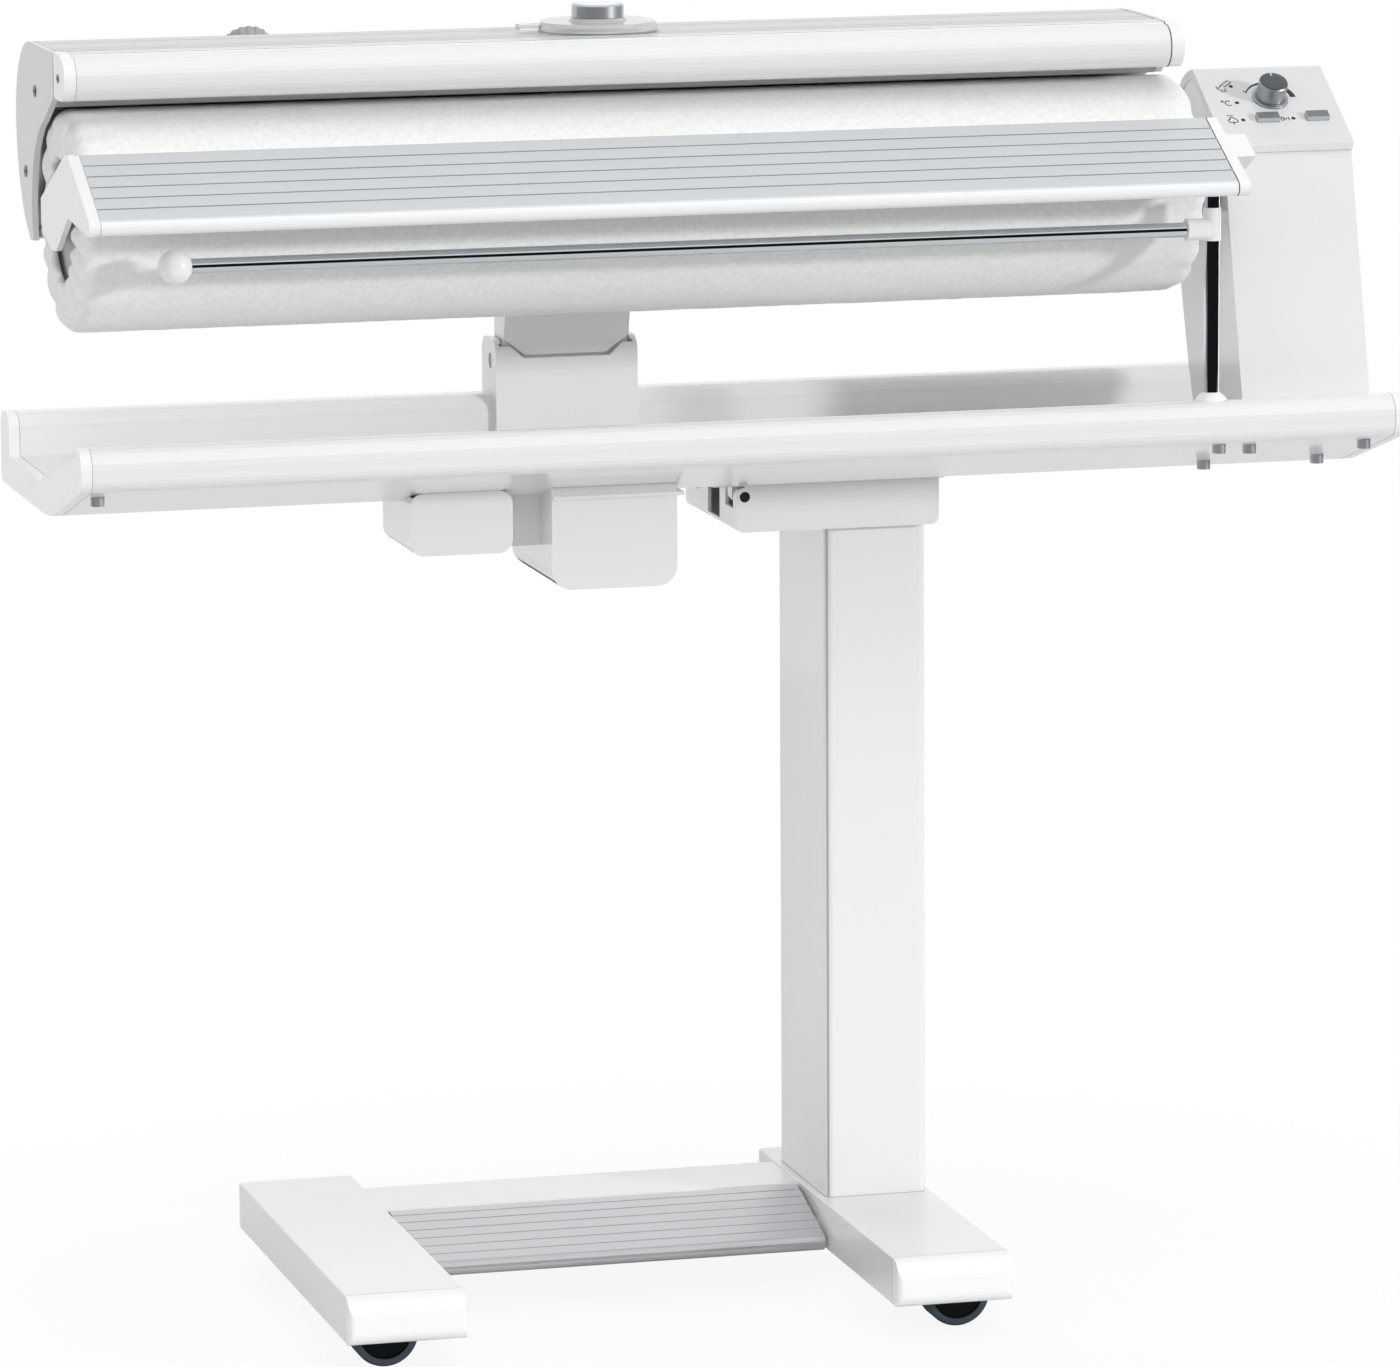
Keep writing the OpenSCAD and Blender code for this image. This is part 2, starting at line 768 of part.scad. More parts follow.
// Cross-section of the tray: back rail, floor, rising front wing, front rail
module tray_outline() {
    back_z = tray_z0 + rail_back_h;
    front_z = tray_z0 + tray_h;
    wing = [tray_y0 + rail_front_w, front_z - rail_lip];
    polygon(concat(
        arc([tray_y1 - rail_r, back_z - rail_r], rail_r, 0, 90),
        arc([tray_y1 - rail_back_w + rail_r, back_z - rail_r], rail_r, 90, 180),
        [[tray_y1 - rail_back_w, floor_z], [low_y, floor_z], wing],
        [[wing[0] - rail_lip / 4, front_z - rail_lip / 3]],
        arc([tray_y0 + 1.2 * rail_r, front_z - 1.2 * rail_r], 1.2 * rail_r, 80, 180),
        arc([tray_y0 + rail_r, front_z - rail_front_h + rail_r], rail_r, 180, 265),
        [[under_y - tray_d / 140, tray_z0 + tray_wall], [under_y + tray_d / 14, tray_z0]],
        arc([tray_y1 - rail_lip, tray_z0 + rail_lip], rail_lip, 270, 360)));
}

// Closed aluminium section with a hole in the front rail for the post's socket
module tray() {
    color(white) difference() {
        bar_x(tray_x0 + tray_cap_t, tray_x1 - tray_cap_t) difference() {
            tray_outline();
            offset(delta = -tray_wall) tray_outline();
        }
        rod_z(socket_z - shank_l - eps, socket_z + shank_l, [post_x, rail_y], post_r + shank_wall);
    }
}

// End cap: the same outline, with a plug that fits inside the tray
module tray_end(x0, x1, p0, p1) {
    bar_x(x0, x1) tray_outline();
    bar_x(p0, p1) offset(delta = -tray_wall - slide_gap) tray_outline();
}

module tray_end_left() {
    color(white) tray_end(tray_x0, tray_x0 + tray_cap_t, tray_x0 + tray_cap_t, tray_x0 + 2 * tray_cap_t);
}

module tray_end_right() {
    color(white) tray_end(tray_x1 - tray_cap_t, tray_x1, tray_x1 - 2 * tray_cap_t, tray_x1 - tray_cap_t);
}

module tray_body() {
    bar_x(tray_x0, tray_x1) tray_outline();
}

// Low box under the tray for the motor of the pressing drive
module motor_housing() {
    z0 = tray_z0 - motor_drop;
    z1 = tray_z0 + tray_floor_h / 2;
    setback = motor_d / 3;
    color(white) difference() {
        union() {
            bar_y(case_y0, case_y0 + motor_d)
                polygon(rounded(motor_x0, motor_x1, z0, z1, motor_case_r));
            block(motor_x1 - motor_case_r, motor_link_x1, case_y0 + setback, case_y0 + motor_d,
                z0, z1);
        }
        block(motor_x0 + case_wall, motor_x1 - case_wall, case_y0 + case_wall,
            case_y0 + motor_d - case_wall, z0 + case_wall, z1 + eps);
        block(motor_x1 - case_wall - eps, motor_link_x1 + eps, case_y0 + setback + case_wall,
            case_y0 + motor_d - case_wall, z0 + case_wall, z1 + eps);
        tray_body();
    }
}

// Deeper box for the gears, hung from a thin flange
module gear_housing() {
    z0 = tray_z0 - gear_drop;
    z1 = tray_z0 + tray_floor_h / 2;
    flange_z = tray_z0 + case_wall;
    color(white) difference() {
        union() {
            bar_y(case_y0, case_y0 + gear_d)
                polygon(rounded(gear_x0, gear_x1, z0, z1 + gear_case_r, gear_case_r));
            block(gear_x0 + eps, gear_x1 + 2 * case_wall, case_y0 - case_wall, case_y0 + gear_d,
                flange_z, flange_z + case_wall);
        }
        block(gear_x0 + case_wall, gear_x1 - case_wall, case_y0 + case_wall,
            case_y0 + gear_d - case_wall, z0 + case_wall, z1 + eps + gear_case_r);
        tray_body();
        block(gear_x0 - eps, gear_x1 + eps, case_y0 - eps, case_y0 + gear_d + eps,
            z1, z1 + 2 * gear_case_r);
    }
}

// Bolts that hold the tray, the post socket and the control box
module tray_bolts() {
    bolt_shares = [[0.018, 0.106], [0.859, 0.049], [0.885, 0.07],
        [0.874, 0.299], [0.962, 0.283], [0.975, 0.071]];
    slope = (tray_h - rail_front_h - tray_wall) / (under_y - tray_d / 140 - tray_y0 - rail_r);
    color(steel) difference() {
        for (s = bolt_shares) {
            y = tray_y0 + s[1] * tray_d;
            z = tray_z0 + tray_wall + slope * max(under_y - tray_d / 140 - y, 0);
            rod_z(z - bolt_h, z + bolt_h, [tray_x0 + s[0] * tray_l, y], bolt_r);
        }
        tray_body();
    }
}

// Motor and gear block of the pressing drive, inside the two housings
module press_unit() {
    z0 = tray_z0 - gear_drop + case_wall;
    motor_r = motor_drop / 2 - case_wall - slide_gap;
    inset = unit_inset;
    line = [case_y0 + motor_d / 2 + inset, tray_z0 - motor_drop / 2];
    color(steel) {
        block(gear_x0 + inset, gear_x1 - inset, case_y0 + inset, case_y0 + gear_d - inset,
            z0, tray_z0 - inset / 2);
        rod_x(motor_x0 + inset, gear_x0 - case_wall, line, motor_r);
    }
}

// Cover over the back rail that holds the heater arm's shaft
module pedestal() {
    w = ped_wall;
    slot = ped_slot;
    color(white) difference() {
        bar_x(ped_x0, ped_x1) polygon(concat(
            [[ped_y0, floor_z]],
            arc([ped_y0 + ped_r, ped_z1 - ped_r], ped_r, 180, 90),
            arc([ped_y1 - ped_r, ped_z1 - ped_r], ped_r, 90, 0),
            [[ped_y1, tray_z0 + rail_lip]]));
        block(ped_x0 + w, ped_x1 - w, ped_y0 + w, ped_y1 - w, tray_z0, ped_z1 - w);
        block(arm_x0 - slot, arm_x1 + slot, ped_y0 + w + slot, ped_y1 - w, floor_z, ped_z1 + eps);
        bar_y(ped_y0 - eps, ped_y1 - w) arm_notch(slot);
        rod_x(ped_x0 - eps, ped_x1 + eps, arm_line, arm_shaft_r);
        tray_body();
    }
}

// Trapezoid where the arm enters the pedestal, drawn in X and Z
module arm_notch(gap) {
    z0 = ped_z1 - notch_drop;
    polygon([
        [arm_x0 + notch_in - gap, z0 - gap], [arm_x1 - notch_in + gap, z0 - gap],
        [arm_x1 + gap, z0 + notch_h], [arm_x1 + gap, ped_z1 + 2 * notch_h],
        [arm_x0 - gap, ped_z1 + 2 * notch_h], [arm_x0 - gap, z0 + notch_h]]);
}

module arm_shaft() {
    color(steel) rod_x(ped_x0 + ped_wall / 3, ped_x1 - ped_wall / 3, arm_line, arm_shaft_r);
}

// Side view of the leaning box, closed above under the panel; its foot starts
// inside the tray's front wing, half way up the wing
module box_outline() {
    h = box_top_z - floor_z;
    back = box_y0 + box_d;
    wing_k = (tray_h - rail_lip - tray_floor_h) / (low_y - tray_y0 - rail_front_w);
    foot_rise = wing_k * (low_y - box_y0) / 2;
    polygon(concat(
        [[min(low_y, back), floor_z], [box_y0 + box_lean * foot_rise, floor_z + foot_rise],
            box_front, panel_k],
        arc(panel_c, panel_back_r, panel_back_a, panel_heel_a, 5),
        [for (s = box_back_shares) [back + s[0] * box_d, floor_z + s[1] * h]],
        [[back, floor_z]]));
}

module control_box() {
    reach = sleeve_r + sleeve_room;
    color(white) difference() {
        bar_x(box_x0, box_x1) box_outline();
        bar_x(box_x0 + box_wall, box_x1 - box_wall) offset(delta = -box_wall) box_outline();
        rod_x(box_x0 - eps, box_x0 + box_wall + eps, rol, reach);
        on_panel() block(box_x0 + 2 * box_wall, box_x1 - 2 * box_wall, panel_l / 8,
            panel_l * 0.875, -3 * panel_t, -panel_t / 2);
        tray_body();
    }
}

// Places what is drawn on the panel's top face: Y runs up the slope
module on_panel() {
    n = [-sin(panel_a), cos(panel_a)];
    translate([0, box_front[0] + panel_t * n[0], box_front[1] + panel_t * n[1]])
        rotate([panel_a, 0, 0]) children();
}

// Cap over the top of the box, with a lip in front and a rounded back
module control_panel() {
    n = [-sin(panel_a), cos(panel_a)];
    lip = panel_lip;
    color(white) difference() {
        union() {
            bar_x(box_x0 - eps, box_x1 + eps) polygon(concat(
                [box_front - [lip, 0], box_front + [-lip, 0] + panel_t * [n[0] / 2, n[1]],
                    box_front + panel_t * n + [0, eps], panel_k + panel_t * n],
                arc(panel_c, panel_back_r + panel_t, panel_brow_a, panel_heel_a, 6),
                arc(panel_c, panel_back_r, panel_heel_a, panel_back_a, 5),
                [panel_k, box_front]));
            on_panel() translate([knob_x, knob_s, -eps])
                cylinder(h = knob_ring_h + eps, r = knob_r + knob_ring_w, $fn = round_fn);
        }
        on_panel() translate([knob_x, knob_s, -2 * panel_t])
            cylinder(h = 4 * panel_t, r = knob_stem_r + play, $fn = round_fn);
        on_panel() for (x = button_xs) translate([x, button_s, 0])
            cube([button_w + 2 * slide_gap, button_d + 2 * slide_gap, 6 * panel_t], center = true);
    }
}

module temp_knob() {
    top = knob_ring_h + slide_gap + knob_h;
    edge = knob_edge;
    color(grey) on_panel() translate([knob_x, knob_s, 0]) {
        rotate_extrude($fn = round_fn) polygon([
            [0, knob_ring_h + slide_gap], [knob_r, knob_ring_h + slide_gap],
            [knob_r, top - edge], [knob_r - edge, top], [0, top]]);
        translate([0, 0, -2 * panel_t])
            cylinder(h = 2 * panel_t + knob_ring_h + slide_gap, r = knob_stem_r, $fn = round_fn);
    }
}

// Rocker-shaped cap on a shank, with a flange that stops it under the panel
module button(x) {
    color(grey) on_panel() translate([x, button_s, 0]) {
        translate([-button_w / 2, -button_d / 2, -panel_t - slide_gap])
            cube([button_w, button_d, panel_t + slide_gap + button_h]);
        translate([-button_w / 2 - button_flange, -button_d / 2 - button_flange,
            -panel_t - slide_gap - button_flange])
            cube([button_w + 2 * button_flange, button_d + 2 * button_flange, button_flange]);
    }
}

module button_left() { button(button_xs[0]); }

module button_right() { button(button_xs[1]); }

// Geared motor that turns the roller, standing on the floor of the box
module drive_unit() {
    x0 = box_x0 + box_wall + slide_gap + drive_gap;
    x1 = x0 + drive_w;
    case_h = drive_w * 0.9;
    motor_r = drive_w * 0.4;
    mid_x = (x0 + x1) / 2;
    y = rol[0] - motor_r / 3;
    color(steel) difference() {
        union() {
            bar_x(x0, x1) polygon(rounded(rol[0] - motor_r, rol[0] + motor_r,
                rol[1] - case_h / 2, rol[1] + case_h / 2, motor_r / 2));
            rod_z(rol[1] - 2.4 * case_h, rol[1] - case_h / 2 + eps, [mid_x, y], motor_r);
            block(mid_x - motor_r / 2, mid_x + motor_r / 2, y - motor_r / 2, y + motor_r / 2,
                floor_z + box_wall, rol[1] - 2.4 * case_h + eps);
        }
        tray_body();
    }
}

// Fixed tube from the feed bracket through the roller to the drive
module roller_axle() {
    color(steel) difference() {
        rod_x(board_x0 + board_plate_t, box_x0 + box_wall + slide_gap + drive_gap, rol, axle_r);
        rod_x(board_x0 + board_plate_t + disc_t, box_x0 + box_wall + drive_gap + eps,
            rol, axle_r - drum_wall);
    }
}

// Steel tube with an end disc at each side and the driving sleeve at the right
module roller_drum() {
    x0 = rol_x0 + pad_end_t;
    x1 = rol_x1 - pad_end_t;
    color(steel) difference() {
        union() {
            difference() {
                rod_x(x0, x1, rol, drum_r);
                rod_x(x0 + disc_in + disc_t, x1 - disc_in - disc_t, rol, drum_r - drum_wall);
                rod_x(x0 - eps, x0 + disc_in, rol, drum_r - drum_wall);
                rod_x(x1 - disc_in, x1 + eps, rol, drum_r - drum_wall);
            }
            rod_x(x1 - disc_in - eps, box_x0 + box_wall + slide_gap, rol, sleeve_r);
        }
        rod_x(x0 - eps, box_x0 + box_wall + slide_gap + eps, rol, axle_r + play);
    }
}

// Felt and cloth cover, folded in over both ends of the drum
module roller_padding() {
    l = roller_l;
    color(cream) translate([rol_x0, rol[0], rol[1]]) rotate([0, 90, 0])
        rotate_extrude($fn = 2 * round_fn) polygon(concat(
            [[pad_eye_r, 0]],
            arc([roller_r - pad_left_r, pad_left_r], pad_left_r, -90, 0, 5),
            arc([roller_r - pad_right_r, l - pad_right_r], pad_right_r, 0, 90, 7),
            [[pad_eye_r, l], [pad_eye_r, l - pad_end_t], [drum_r, l - pad_end_t],
                [drum_r, pad_end_t], [pad_eye_r, pad_end_t]]));
}

// Side view of the board: flat top, rounded nose, back edge thinned for the roller
module board_outline() {
    heel = board_b + 0.32 * board_d * board_dir + board_t * board_n;
    toe = board_nose + nose_r * [cos(nose_end_a), sin(nose_end_a)];
    polygon(concat(
        [board_b], arc(board_nose, nose_r, 90 + board_a, nose_end_a, 9),
        [toe + (nose_r / 2) * [1, 0], heel, board_b + (board_t / 5) * [0.3, -1]]));
}

module feed_board() {
    color(grey) bar_x(board_x0 + board_cap_t, board_x1 - board_cap_t) difference() {
        board_outline();
        for (i = [1:grooves]) {
            p = board_b + board_d * board_dir * i / (grooves + 1);
            translate(p) circle(r = groove_w / 2, $fn = round_fn);
        }
    }
}

// Left end bracket: a cap on the board and an arm bolted to the axle's end
module board_bracket_left() {
    arm_shares = [[-0.70, 0.67], [0.50, 0.16], [0.50, -0.07], [0.42, -0.13],
        [0.03, -0.26], [-0.21, -0.24], [-0.81, 0.12]];
    x = board_x0 + board_plate_t;
    color(white) {
        bar_x(board_x0, x) polygon(concat(
            [for (s = [len(arm_shares) - 1:-1:0]) rol + roller_r * arm_shares[s]],
            [board_b + [0, eps]], arc(board_nose, nose_r + eps, 90 + board_a, nose_end_a, 9)));
        bar_x(x, board_x0 + board_cap_t) board_outline();
    }
}

// Right end bracket: a cap on the board and an arm fixed to the control box
module board_bracket_right() {
    root_shares = [[-0.02, 0.44], [-0.30, 0.20], [-0.36, -0.10], [-1.28, 0.36], [-0.95, 0.53]];
    color(white) {
        bar_x(board_x1 - board_cap_t, board_x1) board_outline();
        bar_x(board_x1 - board_cap_t, box_x0 - 2 * eps)
            polygon([for (s = root_shares) rol + roller_r * s]);
        bar_x(box_x0 - 3 * eps, box_x0) intersection() {
            polygon([for (s = root_shares) rol + roller_r * s]);
            box_outline();
        }
    }
}

// Dome on the tray's front rail with a shank through the rail for the post
module rail_socket() {
    color(white) difference() {
        union() {
            difference() {
                union() {
                    translate([post_x, rail_y, socket_z]) sphere(r = socket_r, $fn = round_fn);
                    rod_z(socket_z - socket_r, socket_z, [post_x, rail_y], socket_r);
                }
                tray_body();
            }
            rod_z(socket_z - shank_l, socket_z + shank_wall, [post_x, rail_y], post_r + shank_wall);
        }
        rod_z(post_z0, post_z1, [post_x, rail_y], post_r + play);
    }
}

module rail_post() {
    color(steel) rod_z(post_z0, post_z1, [post_x, rail_y], post_r);
}

// Moulded sleeve on the post with a stub that takes the rod
module rail_tee() {
    color(white) difference() {
        union() {
            rod_z(rod_z - 0.35 * tee_h, rod_z + 0.65 * tee_h, [post_x, rail_y], post_r + tee_wall);
            rod_x(post_x - tee_stub_l, post_x, [rail_y, rod_z], tee_stub_r);
        }
        rod_z(rod_z - tee_h, rod_z + tee_h, [post_x, rail_y], post_r);
    }
}

module rail_rod() {
    color(steel) rod_x(post_x - rod_l, post_x - tee_stub_l, [rail_y, rod_z], rod_r);
}

module rail_ball() {
    color(white) difference() {
        translate([post_x - rod_l, rail_y, rod_z]) sphere(r = ball_r, $fn = round_fn);
        rod_x(post_x - rod_l - slide_gap, post_x - rod_l + 2 * ball_r, [rail_y, rod_z], rod_r + seat_gap);
    }
}

// Curved aluminium sole that irons against the roller
module shoe_outline() {
    polygon(concat(
        arc(rol, shoe_r, shoe_low_a, shoe_high_a, 26), arc(rol, shoe_out, shoe_high_a, shoe_low_a, 26)));
}

module heater_shoe() {
    color(steel) bar_x(hood_x0, hood_x1) shoe_outline();
}

// Line of the hood's sheet, drawn t inside its outer face: front wall, top, back, lower lip
function hood_line(t) = concat(
    [[hood_y0 + t, guard_z0 + t], [hood_y0 + t, hood_top - t]],
    arc(hood_c1, hood_r1 - t, 90, 0, 9),
    arc(hood_c2, hood_r2 - t, hood_start_a, hood_end_a, hood_steps),
    [hood_lip + t * [sin(hood_lip_a), -cos(hood_lip_a)]]);

// Points of a list from last to first
function flip(p) = [for (i = [len(p) - 1:-1:0]) p[i]];

// Sheet hood with a lip turned in to the shoe's front edge, open where the shoe closes it
module hood() {
    lip_y = rol[0] + shoe_out * cos(shoe_high_a) - slide_gap;
    color(white) difference() {
        bar_x(hood_x0, hood_x1) polygon(concat(
            [[lip_y, guard_z0]], hood_line(0), flip(hood_line(hood_t)), [[lip_y, guard_z0 + hood_t]]));
        rod_z(hood_top - 2 * hood_t, hood_top + eps, [fill_x, fill_y], fill_neck_r + play);
        translate([drain_x, drain_foot[0], drain_foot[1]]) rotate([drain_a - 90, 0, 0])
            translate([0, 0, -drain_h]) cylinder(h = 2 * drain_h, r = knob_stem_r + play, $fn = round_fn);
        for (x = [hood_x0 - eps, hood_x1 - ear_t - 2 * slide_gap])
            block(x, x + ear_t + 2 * slide_gap + eps, hood_y0 - eps, ear_line[0] + ear_r + ear_room,
                ear_line[1] - ear_r - ear_room, hood_top + eps);
    }
}

// Side plate on the left, cut back round the end of the roller
module hood_end_left() {
    r = roller_r - plate_step;
    color(white) difference() {
        bar_x(heat_x0, hood_x0) polygon(concat(
            arc(rol, r, plate_low_a, plate_high_a, 16), hood_line(0)));
        rod_x(heat_x0 + eps, hood_x0 + eps, ear_line, ear_pin_r + play);
    }
}

module hood_end_right() {
    color(white) difference() {
        bar_x(hood_x1, heat_x1) polygon(concat(
            arc(rol, shoe_r, shoe_low_a, shoe_high_a - 1, 26), hood_line(0)));
        rod_x(hood_x1 - eps, heat_x1 - eps, ear_line, ear_pin_r + play);
    }
}

// Arm from the pedestal's shaft up to the back of the hood
module heater_arm() {
    step = (hood_end_a - hood_start_a) / hood_steps;
    on_hood = arc(hood_c2, hood_r2, hood_end_a, hood_start_a + step, hood_steps - 1);
    front = arm_line[0] - arm_boss_r;
    color(white) difference() {
        bar_x(arm_x0, arm_x1) polygon(concat(
            on_hood,
            [[arm_line[0] + 0.8 * arm_boss_r, ped_z1 + ped_h / 2]],
            arc(arm_line, arm_boss_r, 0, -180, 12),
            [[front, ped_z1 - ped_r / 2], [front - 0.9 * ped_r, ped_z1 + ped_h / 2]]));
        rod_x(arm_x0 - eps, arm_x1 + eps, arm_line, arm_shaft_r + play);
        difference() {
            block(arm_x0 - eps, arm_x1 + eps, ped_y0 - ped_r, front + ped_wall,
                arm_line[1] - arm_boss_r, ped_z1 + eps);
            bar_y(ped_y0 - 2 * ped_r, front + 2 * ped_wall) arm_notch(0);
        }
    }
}

// Steam tank between the shoe and the hood, hung from its filler neck
module water_tank() {
    gap = tank_gap;
    x0 = drain_x + drain_r + gap;
    x1 = hood_x0 + heater_l * 0.75;
    neck_z1 = hood_top - hood_t;
    color(steel) difference() {
        union() {
            bar_x(x0, x1) polygon(concat(
                arc(rol, shoe_out + hood_t + gap, tank_low_a, tank_high_a, 12),
                [[fill_y - fill_neck_r - 2 * gap, hood_top - hood_t - gap]],
                arc(hood_c1, hood_r1 - hood_t - gap, 90, 12, 8)));
            rod_z(neck_z1 - 2 * gap, neck_z1, [fill_x, fill_y], fill_neck_r + gap);
        }
        bar_x(x0 + hood_t, x1 - hood_t) offset(delta = -hood_t) polygon(concat(
            arc(rol, shoe_out + hood_t + gap, tank_low_a, tank_high_a, 12),
            [[fill_y - fill_neck_r - 2 * gap, hood_top - hood_t - gap]],
            arc(hood_c1, hood_r1 - hood_t - gap, 90, 12, 8)));
        rod_z(neck_z1 - 3 * gap, neck_z1 + eps, [fill_x, fill_y], fill_neck_r + gap / 2);
    }
}

// Side view of the guard: flat top strip, blunt nose, small chin
module guard_outline() {
    polygon(concat(
        [[guard_y1, guard_z1], [guard_y1 - 0.56 * guard_d, guard_z1],
            [guard_y1 - 0.58 * guard_d, guard_z1 - guard_step]],
        arc([guard_y0 + guard_nose_r, guard_z1 - guard_step - guard_nose_r], guard_nose_r, 90, 180, 8),
        arc([guard_y0 + guard_chin_r, guard_z0 + guard_chin_r], guard_chin_r, 180, 270, 8),
        [[guard_y1 - guard_gap, guard_z0], [guard_y1, guard_z0 + guard_gap]]));
}

module guard_rail() {
    color(white) bar_x(guard_x0, guard_x1) difference() {
        guard_outline();
        offset(delta = -hood_t) guard_outline();
    }
}

// End cap with an ear and a hinge pin that turns in the hood's side plate
module guard_end(x0, x1, ear_x0, pin_x0, pin_x1) {
    bar_x(x0, x1) guard_outline();
    bar_x(ear_x0, ear_x0 + ear_t) union() {
        translate(ear_line) circle(r = ear_r, $fn = round_fn);
        translate([guard_y1 - eps, ear_line[1] - ear_r]) square([ear_line[0] - guard_y1 + eps, 2 * ear_r]);
    }
    rod_x(pin_x0, pin_x1, ear_line, ear_pin_r);
}

module guard_end_left() {
    color(white) guard_end(heat_x0, guard_x0, hood_x0 + slide_gap,
        heat_x0 + 2 * eps, hood_x0 + slide_gap + eps);
}

module guard_end_right() {
    color(white) guard_end(guard_x1, heat_x1, guard_x1, guard_x1 + ear_t - eps, heat_x1 - 2 * eps);
}

// Clear turning lid with a side lever, in the mouth of the tank
module filler_lid() {
    z0 = hood_top + lid_rise;
    edge = lid_step;
    color(grey) translate([fill_x, fill_y, 0]) difference() {
        union() {
            rotate_extrude($fn = round_fn) polygon([
                [0, hood_top - 2 * hood_t], [fill_neck_r, hood_top - 2 * hood_t], [fill_neck_r, z0],
                [lid_r, z0], [lid_r, lid_z1 - 2 * edge], [lid_r - edge, lid_z1 - edge],
                [filler_knob_r + edge, lid_z1 - edge], [filler_knob_r, lid_z1], [0, lid_z1]]);
            translate([-lid_r - fill_tab_l, -fill_tab_w / 2, z0 + edge / 2])
                cube([fill_tab_l + 2 * edge, fill_tab_w, lid_z1 - 2 * edge - z0]);
        }
        translate([0, 0, z0 + edge]) cylinder(h = lid_h, r = knob_stem_r + play, $fn = round_fn);
    }
}

module filler_knob() {
    z0 = lid_z1 + slide_gap;
    z1 = lid_z1 + filler_knob_h;
    edge = filler_edge;
    color(grey) translate([fill_x, fill_y, 0]) {
        rotate_extrude($fn = round_fn) polygon([
            [0, z0], [filler_knob_r, z0], [filler_knob_r, z1 - edge],
            [filler_knob_r - edge, z1], [0, z1]]);
        translate([0, 0, lid_z1 - lid_h / 2])
            cylinder(h = lid_h / 2 + eps, r = knob_stem_r, $fn = round_fn);
    }
}

// Ribbed knob on the back of the hood
module drain_knob() {
    color(grey) translate([drain_x, drain_foot[0], drain_foot[1]]) rotate([drain_a - 90, 0, 0]) {
        difference() {
            translate([0, 0, slide_gap]) cylinder(h = drain_h - slide_gap, r = drain_r, $fn = round_fn);
            for (i = [1:drain_ribs]) rotate([0, 0, i * 360 / drain_ribs])
                translate([drain_r + rib_r / 2, 0, drain_h / 5]) cylinder(h = drain_h, r = rib_r, $fn = 16);
        }
        translate([0, 0, -drain_h / 2]) cylinder(h = drain_h, r = knob_stem_r, $fn = round_fn);
    }
}

foot_left();
foot_right();
foot_cap_left();
foot_cap_right();
foot_end_left();
foot_end_right();
crossbar();
column();
hinge_housing();
hinge_pin();
pedal_pins();
pedal();
castor_fl();
castor_fr();
castor_rl();
castor_rr();
wheels_fl();
wheels_fr();
wheels_rl();
wheels_rr();
hinge_plate();
tray();
tray_end_left();
tray_end_right();
motor_housing();
gear_housing();
tray_bolts();
press_unit();
pedestal();
arm_shaft();
control_box();
control_panel();
drive_unit();
roller_axle();
feed_board();
board_bracket_left();
board_bracket_right();
rail_socket();
rail_post();
rail_tee();
rail_rod();
rail_ball();
roller_drum();
roller_padding();
heater_arm();
heater_shoe();
hood();
hood_end_left();
hood_end_right();
water_tank();
guard_rail();
guard_end_left();
guard_end_right();
filler_lid();
filler_knob();
drain_knob();
temp_knob();
button_left();
button_right();
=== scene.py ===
import math
import bmesh
import bpy
from mathutils import Matrix, Vector, noise


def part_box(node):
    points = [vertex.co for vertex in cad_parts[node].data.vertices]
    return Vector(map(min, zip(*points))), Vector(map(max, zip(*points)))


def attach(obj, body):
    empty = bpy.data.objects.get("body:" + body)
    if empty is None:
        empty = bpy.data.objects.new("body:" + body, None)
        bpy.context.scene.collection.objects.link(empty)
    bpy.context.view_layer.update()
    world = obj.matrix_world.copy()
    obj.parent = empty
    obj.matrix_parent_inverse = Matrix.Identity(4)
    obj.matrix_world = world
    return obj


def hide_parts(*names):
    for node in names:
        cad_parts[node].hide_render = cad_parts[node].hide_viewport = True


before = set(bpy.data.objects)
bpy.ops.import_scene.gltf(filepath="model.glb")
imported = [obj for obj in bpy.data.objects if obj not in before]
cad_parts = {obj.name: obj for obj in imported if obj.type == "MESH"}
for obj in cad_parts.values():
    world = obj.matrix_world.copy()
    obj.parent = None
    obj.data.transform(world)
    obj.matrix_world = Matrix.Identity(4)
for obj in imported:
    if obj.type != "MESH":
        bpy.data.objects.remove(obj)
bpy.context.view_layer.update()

# The camera stands in front of the ironer, to the left of its middle and a little
# above the hood, with a long lens. It was placed from the straight edges of the tray,
# the feet and the column in the photograph.
camera_place = Vector((-1.558, -5.833, 1.503))
camera_turn = math.radians(14.90)
camera_tilt = math.radians(9.785)
camera_roll = math.radians(-0.317)
level_view = math.radians(90)
photo_width = 1400
focal_pixels = 8306.4

lens = bpy.data.cameras.new("photo_lens")
lens.sensor_width = 36.0
lens.lens = focal_pixels * lens.sensor_width / photo_width
lens.clip_start = 0.1
lens.clip_end = 60.0
camera = bpy.data.objects.new("photo_camera", lens)
bpy.context.scene.collection.objects.link(camera)
camera.matrix_world = (
    Matrix.Translation(camera_place)
    @ Matrix.Rotation(-camera_turn, 4, "Z")
    @ Matrix.Rotation(level_view - camera_tilt, 4, "X")
    @ Matrix.Rotation(camera_roll, 4, "Z")
)
bpy.context.scene.camera = camera

# Feet, crossbar and column: folded and welded sheet steel, powder coated white.
# The coat is smooth and half glossy. A fine open joint runs round each foot where its
# moulded nose is pushed in, and round the column where it stands on the right foot.
millimetre = 0.001
in_millimetres = 1000


def set_shader(material, values):
    shader = material.node_tree.nodes["Principled BSDF"]
    for socket, value in values.items():
        shader.inputs[socket].default_value = value


